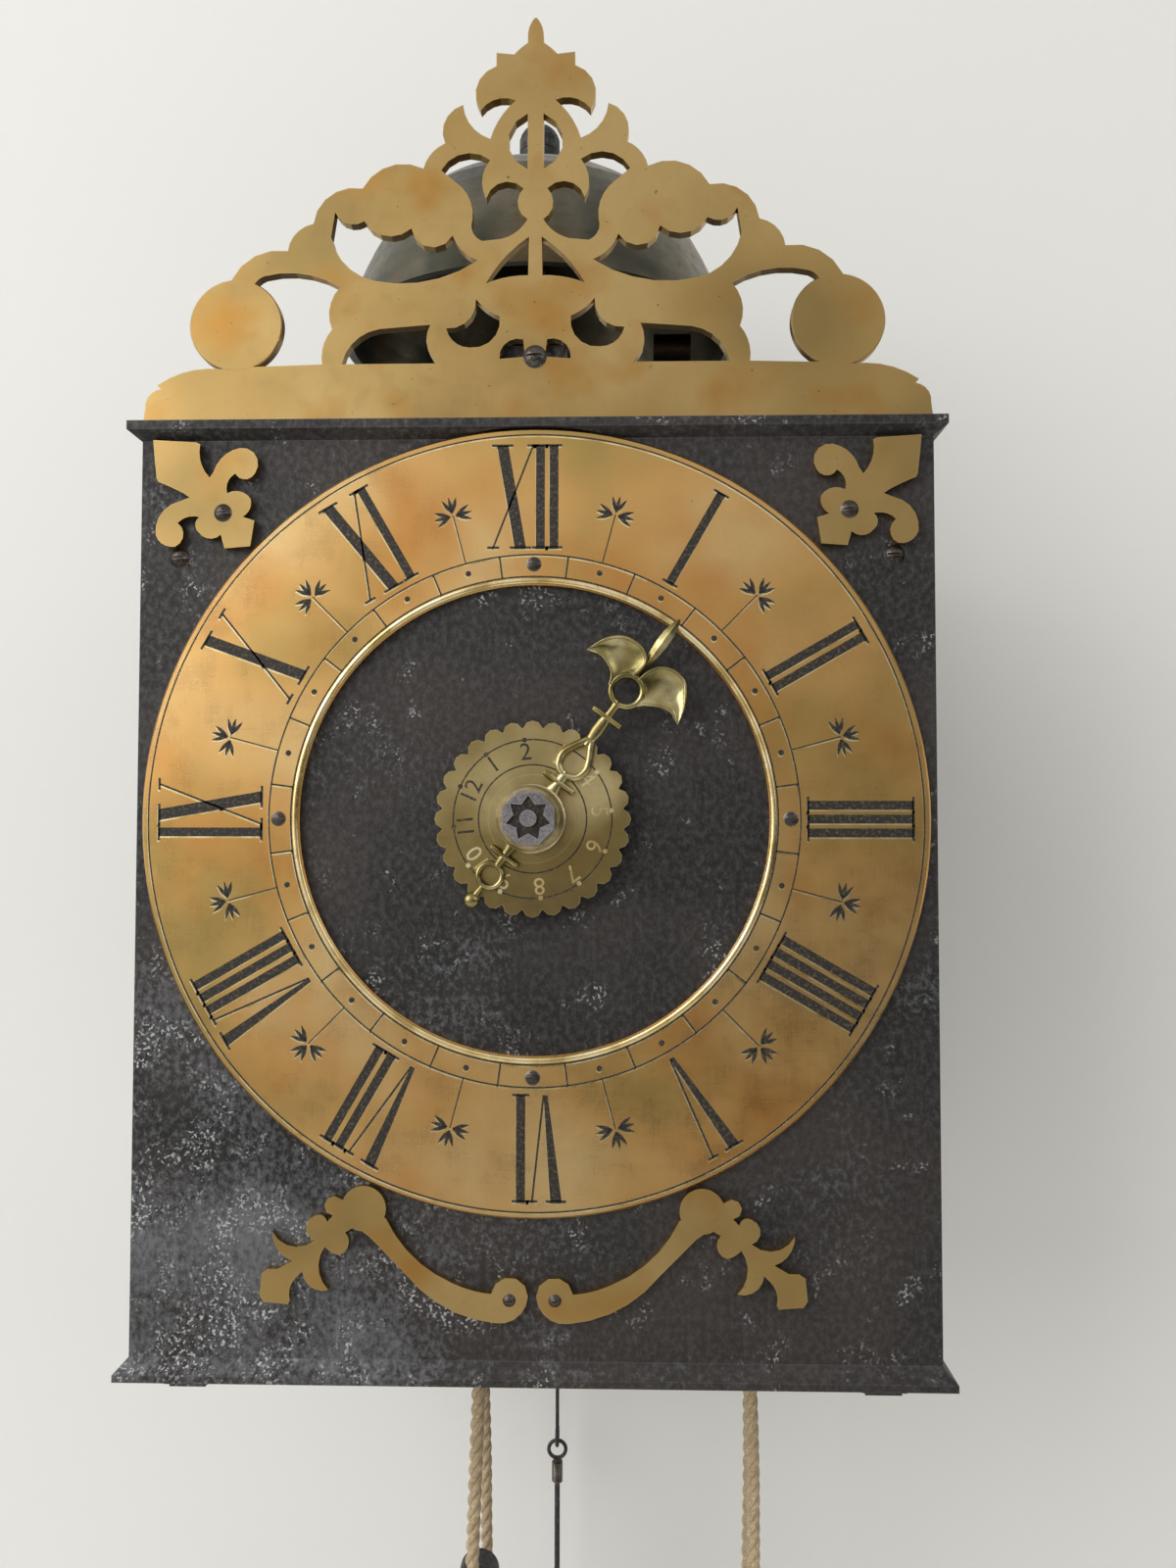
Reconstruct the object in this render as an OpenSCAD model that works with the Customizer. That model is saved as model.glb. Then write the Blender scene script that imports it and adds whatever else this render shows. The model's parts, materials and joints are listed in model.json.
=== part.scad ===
// Lantern clock for a wall: iron case, brass dial and fret, two rope-driven trains.
// Sizes are millimetres. X runs to the right, Y to the wall, Z up.
// Each piece is drawn from the dial centre on the front plate's face, then moved so that
// the origin is the hole that hangs the clock.

/* [Case] */
// Width of the front plate
plate_w = 200; // [190:1:215]
// Height between the top and bottom plates
case_h = 229; // [225:1:245]
// Height of the dial centre above the bottom plate
dial_h = 133; // [130:1:140]
// Depth from the front plate's face to the back plate's rear face
case_d = 150; // [148:1:165]
// Thickness of the front plate
front_t = 2; // [1.5:0.1:3]
// Thickness of the back plate
back_t = 1.5; // [1:0.1:3]
// Thickness of each side door
door_t = 1.2; // [0.8:0.1:2]
// Thickness of the moulded top plate
top_t = 4.5; // [3.5:0.1:7]
// Thickness of the moulded bottom plate
base_t = 5; // [4:0.1:8]
// Overhang of both plates beyond the case
overhang = 3; // [2:0.1:6]
// Side of the square corner pillars
pillar = 9; // [7:0.1:11]
// Height of the feet
foot_h = 3; // [2:0.1:8]
// Side of the square feet
foot_w = 11; // [8:0.1:13]
// Radius of the door's hinge rod
hinge_r = 1.6; // [1.2:0.1:2.2]

/* [Dial] */
// Outer radius of the chapter ring
ring_r = 98; // [90:0.5:98.5]
// Inner radius of the chapter ring
ring_in_r = 58.5; // [50:0.5:64]
// Thickness of the chapter ring
ring_t = 2; // [1.2:0.1:3]
// Radius of the alarm disc to the tips of its scallops
alarm_r = 24.2; // [18:0.1:30]
// Number of scallops round the alarm disc
scallops = 28; // [16:2:36]
// Thickness of the alarm disc
alarm_t = 1.6; // [1:0.1:2.5]
// Length of the hand from its arbor to its tip
hand_len = 60.7; // [56:0.1:66]
// Thickness of the hand
hand_t = 1.6; // [1:0.1:2.5]
// Angle of the hand past twelve at rest
hand_angle = 36.5; // [0:0.5:359]
// Radius of the brass collet in front of the hand
collet_r = 8.4; // [7.5:0.1:10]
// Height of the collet
collet_h = 9; // [6:0.5:12]

/* [Ornament] */
// Width of the fret
fret_w = 200; // [190:1:206]
// Height of the fret
fret_h = 104.5; // [95:0.5:115]
// Thickness of the fret
fret_t = 3; // [2:0.1:4]
// Thickness of the corner and scroll ornaments
leaf_t = 2; // [1.2:0.1:3]
// Shank radius of the frame screws
screw_r = 1.3; // [1:0.1:1.8]
// Shank radius of the small screws in the ornaments
small_screw_r = 0.9; // [0.7:0.1:1.2]

/* [Bell] */
// Radius of the bell's mouth
bell_r = 61; // [56:0.5:64]
// Height of the bell
bell_h = 54; // [46:0.5:60]
// Wall of the bell
bell_t = 2.4; // [1.8:0.1:3.5]
// Height of the bell's mouth above the top plate
bell_gap = 48; // [44:0.5:54]
// Radius of the post that carries the bell
post_r = 3; // [2.4:0.1:4]

/* [Movement] */
// Thickness of the three movement bars
bar_t = 4; // [3:0.1:5]
// Width of the three movement bars
bar_w = 16; // [14:0.5:20]
// Depth of the front bar's front face
front_bar_y = 22; // [21:0.5:24]
// Depth of the middle bar's front face
middle_bar_y = 74; // [74:0.5:76]
// Radius of the arbors
arbor_r = 2; // [1.6:0.1:2.1]
// Radius of the pivots at the ends of the arbors
pivot_r = 1.2; // [0.9:0.1:1.6]
// Thickness of the wheels
wheel_t = 2; // [1.4:0.1:2.6]
// Radius of the going pulley at the rope's middle
going_rope_r = 38; // [34:0.5:39]
// Radius of the striking pulley at the rope's middle
strike_rope_r = 45.5; // [42:0.5:46]
// Width of both rope pulleys
pulley_w = 10; // [8:0.5:11]
// Radius of the escape wheel
escape_r = 20; // [17:0.5:21]
// Teeth of the escape wheel
escape_teeth = 34; // [28:2:38]
// Radius of the fly
fly_r = 13; // [9:0.5:14]
// Swing of the hammer's head away from the bell's wall at rest
hammer_gap = 3; // [2:0.1:6]

/* [Rope and weights] */
// Diameter of the rope
rope_d = 4; // [3:0.1:4.5]
// Rope radius of the weight's pulley
block_rope_r = 26.5; // [24:0.5:27]
// Radius of the driving weight
weight_r = 30; // [24:0.5:34]
// Height of the driving weight
weight_h = 78; // [50:1:100]
// Radius of the counterweight ring to the middle of its bar
ring_weight_r = 18; // [15:0.5:22]

/* [Pendulum] */
// Distance from the suspension to the middle of the bob
pendulum_len = 435; // [400:1:450]
// Distance from the suspension to the hook between the two rods
hook_len = 296; // [280:1:310]
// Radius of the pendulum's wire
wire_r = 0.7; // [0.5:0.05:1]
// Radius of the bob
bob_r = 30; // [22:0.5:34]
// Thickness of the bob at its middle
bob_t = 12; // [8:0.5:14]

/* [Hanging] */
// Radius of the hole that hangs the clock
hang_r = 4.5; // [3.5:0.1:6]
// Height of the hanging hole above the top plate's upper face
hang_rise = 20; // [14:0.5:28]
// Distance from the back plate to the wall
wall_gap = 28; // [26:0.5:34]
// Thickness of the hanging plate
hang_t = 3; // [2:0.1:4]

/* [Hidden] */

$fn = 48;

// Clearances
run = 0.05;        // turning pieces, on the radius
seat = 0.05;       // a shank in its hole, on the radius
free = 0.3;        // pieces that pass each other

// Colours
iron = "#4a4646";
polished_iron = "#7c7a78";
ring_brass = "#c0924e";
fret_brass = "#ad8748";
wheel_brass = "#b8934c";
bell_metal = "#5f5c50";
steel = "#8d8b88";
hemp = "#b8a284";
lead = "#6b6d70";

// Levels and planes
case_bottom = -dial_h;
case_top = case_h - dial_h;
top_face = case_top + top_t;
base_face = case_bottom - base_t;
front_back = front_t;                  // rear face of the front plate
back_front = case_d - back_t;          // front face of the back plate
rear_bar_y = case_d - 22;              // front face of the rear bar
cock_y = case_d + 6;                   // front face of the cock's leg
pendulum_y = case_d + 11;
wall_y = case_d + wall_gap;
hang_z = top_face + hang_rise;

// Places of the pillars, feet and hinges
pillar_x = plate_w/2 - 10;
foot_x = pillar_x - 4;
front_pillar_y = front_back + pillar/2;
rear_pillar_y = back_front - pillar/2;
door_x = plate_w/2 - 2.5;              // middle of a door's sheet
hinge_y = back_front - 4;

// Places of the arbors in the plane of the dial
great = [20, -45];
second = [8, 3];
escape = [-2, 33.8];
pallets = [-2, 64];
hoop = [-6, 4.7];
warning = [18, 30.3];
fly_at = [-2, 45.8];
count_at = [-30, -45];
hammer_at = [73, -61];
detent_at = [-44, 40];
bell_at = [-4, 75];
bell_mouth = top_face + bell_gap;
bell_top = bell_mouth + bell_h;
axis_z = pallets[1];

// Teeth: wheel and pinion counts, and the module that their distance gives
going_teeth = 60;
second_teeth = 48;
hour_teeth = 72;
report_leaves = 6;
leaves = 6;
hoop_teeth = 48;
warning_teeth = 40;
count_teeth = 78;
count_leaves = 8;
going_mod = 2*norm(second - great)/(going_teeth + leaves);
second_mod = 2*norm(escape - second)/(second_teeth + leaves);
hour_mod = 2*norm(great)/(hour_teeth + report_leaves);
strike_mod = 2*norm(hoop - great)/(going_teeth + leaves);
hoop_mod = 2*norm(warning - hoop)/(hoop_teeth + leaves);
warning_mod = 2*norm(fly_at - warning)/(warning_teeth + leaves);
count_mod = 2*norm(count_at - great)/(count_teeth + count_leaves);

// Depths of the wheels' front faces
hour_y = 12;
second_y = front_bar_y + 10;
going_pulley_y = front_bar_y + pulley_w/2 + 18;   // middle of the pulley
going_y = going_pulley_y + pulley_w/2 + 1;
escape_y = middle_bar_y - 10;
strike_pulley_y = rear_bar_y - pulley_w/2 - 13;   // middle of the pulley
strike_y = strike_pulley_y - pulley_w/2 - wheel_t - 1;
hoop_y = middle_bar_y + bar_t + 6;
warning_y = rear_bar_y - 9;
fly_y = strike_y - 11;
count_y = rear_bar_y + bar_t + 3;

hoop_ring_r = 24;                      // locking hoop
hoop_h = 4;
hammer_pin_at = going_teeth*strike_mod/2 - 5;
lifting_pin_r = 1.2;
lifting_pin_h = 5;
count_plate_r = 36;
count_beak = [-26.5, 4];               // where the detent ends over the count wheel
fly_w = 22;
pivot_in = bar_t/2 - 0.2;              // length of a pivot inside its bar

// Rope
rope_r = rope_d/2;
groove_r = rope_r + free;
left_x = great[0] - going_rope_r;
right_x = great[0] + going_rope_r;
left_rear_x = great[0] - strike_rope_r;
right_rear_x = great[0] + strike_rope_r;
rope_exit_z = -136;
rope_hole_r = rope_r + 3;

// The weight's pulley and the counterweight
block = [-22, 77.5, -262];
sheave_w = 7.6;
sheave_groove_r = rope_r + 0.8;
axle_r = 2;
strap_t = 1.6;
strap_half = sheave_w/2 + 0.6 + strap_t;
strap_low = block[2] - block_rope_r - 3 - strap_half;
hook_bar = 1.8;
hook_r = 6;
hook_z = strap_low - 4 - hook_r;       // middle of the hook
weight_top = hook_z - 3*hook_r + 2*hook_bar + 0.1;
ring_at = [61.5, 77.5, -285];          // where the rope bears on the ring's bar
ring_bar_r = 6;

// Moves a piece from the dial's frame to the hanging hole's frame
module at_wall() translate([0, -wall_y, -hang_z]) children();

// A flat piece whose rear face is at depth back
module slab(back, t) translate([0, back, 0]) rotate([90, 0, 0]) linear_extrude(t) children();

// A round bar along Y at a place in the dial's plane
module bar_y(p, from, to, r) translate([p[0], from, p[1]]) rotate([-90, 0, 0])
  cylinder(r = r, h = to - from);

// A block between two corners
module block_between(a, b) translate(a) cube(b - a);

// Both the piece and its mirror image across the middle of the clock
module both_sides() {
  children();
  mirror([1, 0, 0]) children();
}

function polar(r, a) = r*[cos(a), sin(a)];
function turn(v) = v - 360*floor(v/360);
function flat(p) = [p[0], p[1]];
function toward(a, b) = atan2(b[1] - a[1], b[0] - a[0]);

// Centre of the circle through three points
function centre3(a, m, b) =
  let (d = 2*(a[0]*(m[1] - b[1]) + m[0]*(b[1] - a[1]) + b[0]*(a[1] - m[1])),
       qa = a*a, qm = m*m, qb = b*b)
  [(qa*(m[1] - b[1]) + qm*(b[1] - a[1]) + qb*(a[1] - m[1]))/d,
   (qa*(b[0] - m[0]) + qm*(a[0] - b[0]) + qb*(m[0] - a[0]))/d];

// Points strictly between a and b on the arc that passes through m
function arc_between(a, m, b, steps) =
  let (c = centre3(a, m, b), r = norm(a - c),
       t0 = atan2(a[1] - c[1], a[0] - c[0]),
       t1 = atan2(b[1] - c[1], b[0] - c[0]),
       left = cross(m - a, b - a) > 0,
       sweep = left ? turn(t1 - t0) : -turn(t0 - t1))
  [for (i = [1:steps - 1]) c + polar(r, t0 + sweep*i/steps)];

// An outline of corners; a point with a third value is the crown of an arc between its neighbours
function outline(p, steps = 5) =
  let (n = len(p))
  [for (i = [0:n - 1]) if (len(p[i]) == 2)
    each (len(p[(i + 1)%n]) == 3
      ? concat([p[i]], arc_between(p[i], flat(p[(i + 1)%n]), flat(p[(i + 2)%n]), steps))
      : [p[i]])];

// A left half outline joined to its mirror image
function whole(half) = concat(half, [for (i = [len(half) - 1:-1:0])
  len(half[i]) == 3 ? [-half[i][0], half[i][1], 1] : [-half[i][0], half[i][1]]]);

// Tooth outline of a wheel or pinion: the share of the pitch at root and tip sets the play
module teeth2d(n, m, top, dip, root_share = 0.27, tip_share = 0.11) {
  r = n*m/2;
  p = 360/n;
  polygon([for (i = [0:n - 1]) each [
    polar(r - dip*m, (i - root_share)*p), polar(r + top*m, (i - tip_share)*p),
    polar(r + top*m, (i + tip_share)*p), polar(r - dip*m, (i + root_share)*p)]]);
}

// A wheel with a rim, four crossings and a hub
module wheel2d(n, m, rim, hub_r, spoke_w) difference() {
  teeth2d(n, m, 0.95, 1.25);
  crossings(n*m/2 - 1.25*m - rim, hub_r, spoke_w);
}

// The four windows of a crossed-out wheel
module crossings(rim_r, hub_r, spoke_w) difference() {
  circle(r = rim_r);
  circle(r = hub_r);
  for (a = [0, 90]) rotate(a) square([3*rim_r, spoke_w], center = true);
}

// A pinion of leaves at a place, between two depths, turned so that a gap faces the angle
module pinion(p, n, m, gap_angle, from, to) slab(to, to - from) translate(p)
  rotate(gap_angle - 180/n) teeth2d(n, m, 0.7, 1.35, 0.2, 0.09);

// A toothed wheel at a place, turned so that a tooth faces the angle
module toothed(p, n, m, tooth_angle, from, rim, hub_r, spoke_w) slab(from + wheel_t, wheel_t)
  translate(p) rotate(tooth_angle) wheel2d(n, m, rim, hub_r, spoke_w);

// A wheel bored to go on its arbor
module on_arbor(p, from, r = arbor_r) difference() {
  children();
  bar_y(p, from - 1, from + wheel_t + 1, r + seat);
}

// An arbor with a pivot at each end, from the inside of one bar to the inside of the next
module arbor(p, from, to, r = arbor_r) {
  bar_y(p, from + free, to - free, r);
  bar_y(p, from - pivot_in, to + pivot_in, pivot_r);
}

// A rope pulley on an arbor
module rope_pulley(p, y, rope_at) translate([p[0], y, p[1]]) rotate([-90, 0, 0])
  rotate_extrude($fn = 72) difference() {
    translate([arbor_r + seat, -pulley_w/2]) square([rope_at + 2.5 - arbor_r - seat, pulley_w]);
    translate([rope_at, 0]) circle(r = groove_r);
    translate([rope_at, -groove_r]) square([10, 2*groove_r]);
    for (s = [-1, 1]) translate([arbor_r + 5, s*pulley_w/2 - 2.5]) square([rope_at - arbor_r - 13, 5]);
  }

// A screw along Y whose domed head lies on the depth y
module dome_screw(x, z, y, head_r, head_h, shank, length) translate([x, y, z]) rotate([90, 0, 0]) {
  difference() {
    rotate_extrude() intersection() {
      translate([0, head_h - (head_r*head_r + head_h*head_h)/(2*head_h)])
        circle(r = (head_r*head_r + head_h*head_h)/(2*head_h), $fn = 64);
      square([head_r, head_h]);
    }
    translate([-head_r, -head_r*0.12, head_h*0.55]) cube([2*head_r, head_r*0.24, head_h]);
  }
  translate([0, 0, -length]) cylinder(r = shank, h = length);
}

// Fixings, all worked from the case
bar_x = 8;                             // middle of the movement bars
tenon_w = bar_w - 6;
tenon_up = 6;                          // tenon above the top plate
wedge_h = 2.6;
wedge_w = 3;
hinge_depth = 2.5;                     // depth of the hinge rod's holes in the plates
hammer_y = middle_bar_y + 14;          // middle of the hammer's stem
hammer_slot_x = 26;
hammer_slot_w = 36;
hammer_slot_d = 14;
hammer_stem_t = 3;
post_screw_r = post_r - 0.8;
bracket_screw_y = 12;
hang_pin_r = 1.2;                      // the pin that the pendulum hangs on
crutch_y = case_d + 1.5;
crutch_len = 42;
link_r = 3.2;                          // eyes between the pendulum's two rods
link_z = axis_z - hook_len;
low_link_z = link_z - 2*link_r + 2*wire_r + 0.1;
rod_r = wire_r + 0.3;
bob_z = axis_z - pendulum_len;
hang_w = 22;
hang_rivet_y = case_d - 10;
hang_rivets_x = [-7, 7];
frame_screw_off = 13.6;                // from the ring's edge to a frame screw
frame_screw_z = sqrt(pow(ring_r + frame_screw_off, 2) - pow(pillar_x, 2));
frame_screw_len = 7;
back_screws_z = [case_bottom + 20, case_top - 20];
back_half = door_x - door_t/2 - 1.5;
ring_screw_at = 63.6;
leaf_scale = (norm([plate_w/2, case_top]) - ring_r)/40.62;   // room in the plate's corners
scroll_scale = (dial_h - ring_r)/35;   // room under the ring
corner_screw = [plate_w/2 - 21.5*leaf_scale, case_top - 19*leaf_scale];
scroll_screw = [5.6*scroll_scale, case_bottom + 15.5*scroll_scale];
cock_screws_z = [axis_z + 14, axis_z + 24];
cock_screw_x = 10;
knob_y = 16;
knob_z = -18;
knob_shank_r = 1.4;
spur_x = pillar_x - 6;
spur_z = case_bottom + 14;
tube_r = 4;                            // outside of the hour tube
stud_r = 2.4;                          // the stud that it turns on
alarm_back = -3;
hand_back = alarm_back - alarm_t - 1.2;
collet_back = hand_back - hand_t;
nut_t = 1.6;
nut_r = 6.6;
fret_screw_z = top_face + 16.5;

// Profile across a moulded plate: straight at the case, a chamfer outwards, then a straight edge
module moulding2d(from, to, case_z, edge_z, far_z) polygon([
  [from, case_z], [to, case_z], [to + overhang, edge_z], [to + overhang, far_z],
  [from - overhang, far_z], [from - overhang, edge_z]]);

// A moulded plate whose chamfer runs round all four sides
module moulded_plate(case_z, edge_z, far_z) intersection() {
  translate([0, case_d + overhang, 0]) rotate([90, 0, 0]) linear_extrude(case_d + 2*overhang)
    moulding2d(-plate_w/2, plate_w/2, case_z, edge_z, far_z);
  translate([-plate_w/2 - overhang, 0, 0]) rotate([90, 0, 90]) linear_extrude(plate_w + 2*overhang)
    moulding2d(0, case_d, case_z, edge_z, far_z);
}

module hinge_holes(low, high) both_sides()
  translate([door_x, hinge_y, low]) cylinder(r = hinge_r + run, h = high - low);

module tenon_holes(low, high) for (y = [front_bar_y, middle_bar_y, rear_bar_y])
  block_between([bar_x - tenon_w/2 - seat, y - seat, low],
    [bar_x + tenon_w/2 + seat, y + bar_t + seat, high]);

module upright_hole(x, y, r, low, high) translate([x, y, low]) cylinder(r = r, h = high - low);

// Top plate, filed away in front where the chapter ring rises over its moulding
module top_plate() at_wall() color(iron) difference() {
  moulded_plate(case_top, case_top + top_t/2, top_face);
  bar_y([0, 0], -overhang - 1, 0, ring_r + free);
  hinge_holes(case_top - 1, case_top + hinge_depth);
  tenon_holes(case_top - 1, top_face + 1);
  block_between([hammer_slot_x, hammer_y - hammer_slot_d/2, case_top - 1],
    [hammer_slot_x + hammer_slot_w, hammer_y + hammer_slot_d/2, top_face + 1]);
  upright_hole(bell_at[0], bell_at[1], post_screw_r + seat, case_top - 1, top_face + 1);
  upright_hole(0, bracket_screw_y, small_screw_r + seat, case_top - 1, top_face + 1);
  for (x = hang_rivets_x) upright_hole(x, hang_rivet_y, screw_r + seat, case_top - 1, top_face + 1);
}

module bottom_plate() at_wall() color(iron) difference() {
  moulded_plate(case_bottom, case_bottom - base_t*0.65, base_face);
  hinge_holes(case_bottom - hinge_depth, case_bottom + 1);
  tenon_holes(base_face - 1, case_bottom + 1);
  for (x = [left_x, right_x]) upright_hole(x, going_pulley_y, rope_hole_r, base_face - 1, case_bottom + 1);
  for (x = [left_rear_x, right_rear_x])
    upright_hole(x, strike_pulley_y, rope_hole_r, base_face - 1, case_bottom + 1);
}

module corner_pillars() at_wall() color(iron) both_sides() {
  difference() {
    block_between([pillar_x - pillar/2, front_back, case_bottom],
      [pillar_x + pillar/2, front_back + pillar, case_top]);
    bar_y([pillar_x, frame_screw_z], 0, front_back + frame_screw_len, screw_r + seat);
  }
  difference() {
    block_between([pillar_x - pillar/2, back_front - pillar, case_bottom],
      [pillar_x + pillar/2, back_front, case_top]);
    for (z = back_screws_z) bar_y([pillar_x, z], back_front - 6, case_d, screw_r + seat);
  }
}

// Square feet with a small step below, under the pillars
module feet() at_wall() color(iron) both_sides() for (y = [front_pillar_y, rear_pillar_y])
  translate([foot_x, y, base_face - foot_h]) {
    translate([-foot_w/2, -foot_w/2, foot_h/3]) cube([foot_w, foot_w, foot_h*2/3]);
    translate([1 - foot_w/2, 1 - foot_w/2, 0]) cube([foot_w - 2, foot_w - 2, foot_h/3]);
  }

module front_plate() at_wall() color(iron) difference() {
  block_between([-plate_w/2, 0, case_bottom], [plate_w/2, front_back, case_top]);
  bar_y([0, 0], -1, front_back + 1, tube_r + 3);
  for (a = [0:90:270]) bar_y(polar(ring_screw_at, a), -1, front_back + 1, small_screw_r + seat);
  both_sides() {
    bar_y([pillar_x, frame_screw_z], -1, front_back + 1, screw_r + seat);
    bar_y(corner_screw, -1, front_back + 1, screw_r + seat);
    bar_y(scroll_screw, -1, front_back + 1, small_screw_r + seat);
  }
}

// Screws of the case, the fret and its bracket
module frame_screws() at_wall() color(steel) {
  both_sides() {
    dome_screw(pillar_x, frame_screw_z, 0, 2.6, 1.4, screw_r, front_back + frame_screw_len - 1);
    for (z = back_screws_z) translate([0, case_d, 0]) mirror([0, 1, 0])
      dome_screw(pillar_x, z, 0, 2.6, 1.4, screw_r, back_t + 5);
  }
  dome_screw(0, fret_screw_z, 0, 3, 1.5, screw_r, fret_t + 2);
  translate([0, bracket_screw_y, top_face + 2]) rotate([-90, 0, 0])
    dome_screw(0, 0, 0, 2, 1, small_screw_r, 2 + top_t/2);
}

module back_plate() at_wall() color(iron) difference() {
  block_between([-back_half, back_front, case_bottom], [back_half, case_d, case_top]);
  block_between([pallets[0] - 9, back_front - 1, axis_z - 26], [pallets[0] + 9, case_d + 1, axis_z + 7]);
  for (z = back_screws_z) both_sides() bar_y([pillar_x, z], back_front - 1, case_d + 1, screw_r + seat);
  for (z = cock_screws_z) for (s = [-1, 1])
    bar_y([pallets[0] + s*cock_screw_x, z], back_front - 1, case_d + 1, small_screw_r + seat);
}

// A side door: sheet iron fused to its hinge rod, with a folded lip at its front edge
module door() difference() {
  union() {
    block_between([door_x - door_t/2, front_back + free, case_bottom + free],
      [door_x + door_t/2, hinge_y, case_top - free]);
    block_between([door_x - door_t/2 - 1.2, front_back + free, case_bottom + free],
      [door_x, front_back + free + 1, case_top - free]);
    translate([door_x, hinge_y, case_bottom - hinge_depth + free])
      cylinder(r = hinge_r, h = case_h + 2*hinge_depth - 2*free);
  }
  translate([door_x, knob_y, knob_z]) rotate([0, 90, 0])
    cylinder(r = knob_shank_r + seat, h = 10, center = true);
}

// Turned knob: collar, neck and ball, with a shank riveted inside the door
module door_knob() translate([door_x, knob_y, knob_z]) rotate([0, 90, 0]) rotate_extrude()
  translate([0, door_t/2]) polygon([
    [0, -door_t - 1], [2.4, -door_t - 1], [2.4, -door_t], [knob_shank_r, -door_t], [knob_shank_r, 0],
    [4, 0], [4, 1], [2, 1.6], [1.6, 3], [2.6, 4.2], [3.6, 5.6], [3.9, 7], [3.4, 8.6], [2, 9.8],
    [0, 10.2]]);

module left_door() at_wall() color(iron) mirror([1, 0, 0]) door();
module right_door() at_wall() color(iron) door();
module left_door_knob() at_wall() color(wheel_brass) mirror([1, 0, 0]) door_knob();
module right_door_knob() at_wall() color(wheel_brass) door_knob();

// Hanging plate: a strap on the top plate that turns up at the wall and ends in a round eye
module hanging_plate() at_wall() color(polished_iron) difference() {
  union() {
    block_between([-hang_w/2, hang_rivet_y - 4, top_face], [hang_w/2, wall_y, top_face + hang_t]);
    slab(wall_y, hang_t) translate([-hang_w/2, top_face]) square([hang_w, hang_rise]);
    slab(wall_y, hang_t) translate([0, hang_z]) circle(r = hang_w/2);
    for (x = hang_rivets_x) upright_hole(x, hang_rivet_y, screw_r, case_top, top_face + 1);
  }
  bar_y([0, hang_z], wall_y - hang_t - 1, wall_y + 1, hang_r);
}

// Two pointed spurs that stand the foot of the clock off the wall
module wall_spurs() at_wall() color(polished_iron) both_sides() translate([spur_x, case_d, spur_z])
  rotate([-90, 0, 0]) rotate_extrude() polygon([
    [0, 0], [5, 0], [5, 2], [2.6, 3.5], [2.6, wall_gap - 9], [0.6, wall_gap], [0, wall_gap]]);

// Chapter ring with a bevel at its inner edge and an eased outer edge
module chapter_ring() at_wall() color(ring_brass) difference() {
  rotate([90, 0, 0]) rotate_extrude($fn = 180) polygon([
    [ring_in_r, 0], [ring_r, 0], [ring_r, ring_t - 0.5], [ring_r - 0.5, ring_t],
    [ring_in_r + 0.8, ring_t], [ring_in_r, ring_t - 0.8]]);
  for (a = [0:90:270]) bar_y(polar(ring_screw_at, a), -ring_t - 1, 1, small_screw_r + seat);
}

// Rim of the alarm disc: one round lobe after another
function scallop_rim() =
  let (p = 360/scallops, lobe = alarm_r*sin(p/2)/(1 + sin(p/2)), c = alarm_r - lobe)
  [for (i = [0:scallops - 1]) for (k = [-2:2]) polar(c, i*p) + polar(lobe, i*p + k*38)];

module alarm_disc() at_wall() color(ring_brass) {
  slab(alarm_back, alarm_t) difference() {
    polygon(scallop_rim());
    circle(r = tube_r + run);
  }
  slab(alarm_back - alarm_t, 0.6) difference() {
    circle(r = alarm_r*0.45);
    circle(r = tube_r + run);
  }
}

// The hand, pointing up: tail with ring and ball, drop-shaped loop, round loop between leaves, spear
module hand2d() difference() {
  loop_at = hand_len - 21.9;
  union() {
    circle(r = collet_r);
    translate([0, 17]) circle(r = 4.5);
    polygon([[-4.1, 18.9], [4.1, 18.9], [1.7, 24.7], [-1.7, 24.7]]);
    translate([0, loop_at]) circle(r = 4.7);
    translate([0, -17.2]) circle(r = 3.6);
    translate([0, -24.7]) circle(r = 2);
    translate([-1, -23.5]) square([2, 4]);
    translate([-1.6, 6]) square([3.2, 7.5]);
    translate([-1.6, 23]) square([3.2, loop_at - 26.5]);
    translate([-1.3, -15]) square([2.6, 8]);
    translate([-4.75, 10.2]) square([9.5, 1.4]);
    translate([-4.5, loop_at - 8.8]) square([9, 1.4]);
    translate([-4.25, -12]) square([8.5, 1.4]);
    polygon(outline(whole([[-0.2, hand_len], [-0.8, hand_len - 3], [-1.9, hand_len - 7.7, 1],
      [-1.2, loop_at + 10], [-1.9, loop_at + 9.5], [-4.2, loop_at + 7.6, 1], [-5.5, loop_at + 8.4],
      [-9.4, loop_at + 10.2], [-12.6, loop_at + 6.6, 1], [-14.2, loop_at + 1.7],
      [-8.6, loop_at + 1.4, 1], [-3.6, loop_at + 2.4]])));
  }
  translate([0, 17]) circle(r = 2.6);
  polygon([[-2.2, 18.2], [2.2, 18.2], [0.3, 22.6], [-0.3, 22.6]]);
  translate([0, loop_at]) circle(r = 3.2);
  translate([0, -17.2]) circle(r = 2.3);
  circle(r = tube_r + seat);
}

module hour_hand() at_wall() color(fret_brass) slab(hand_back, hand_t) rotate(-hand_angle) hand2d();

// Brass collet with a bead at its foot, pressed on the hour tube in front of the hand
module hand_collet() at_wall() color(wheel_brass) translate([0, collet_back, 0]) rotate([90, 0, 0])
  rotate_extrude() polygon([[tube_r + seat, 0], [collet_r, 0], [collet_r, 2], [collet_r - 0.8, 2.6],
    [collet_r - 0.4, 4], [collet_r - 0.4, collet_h - 1], [collet_r - 1.2, collet_h],
    [tube_r + seat, collet_h]]);

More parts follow.
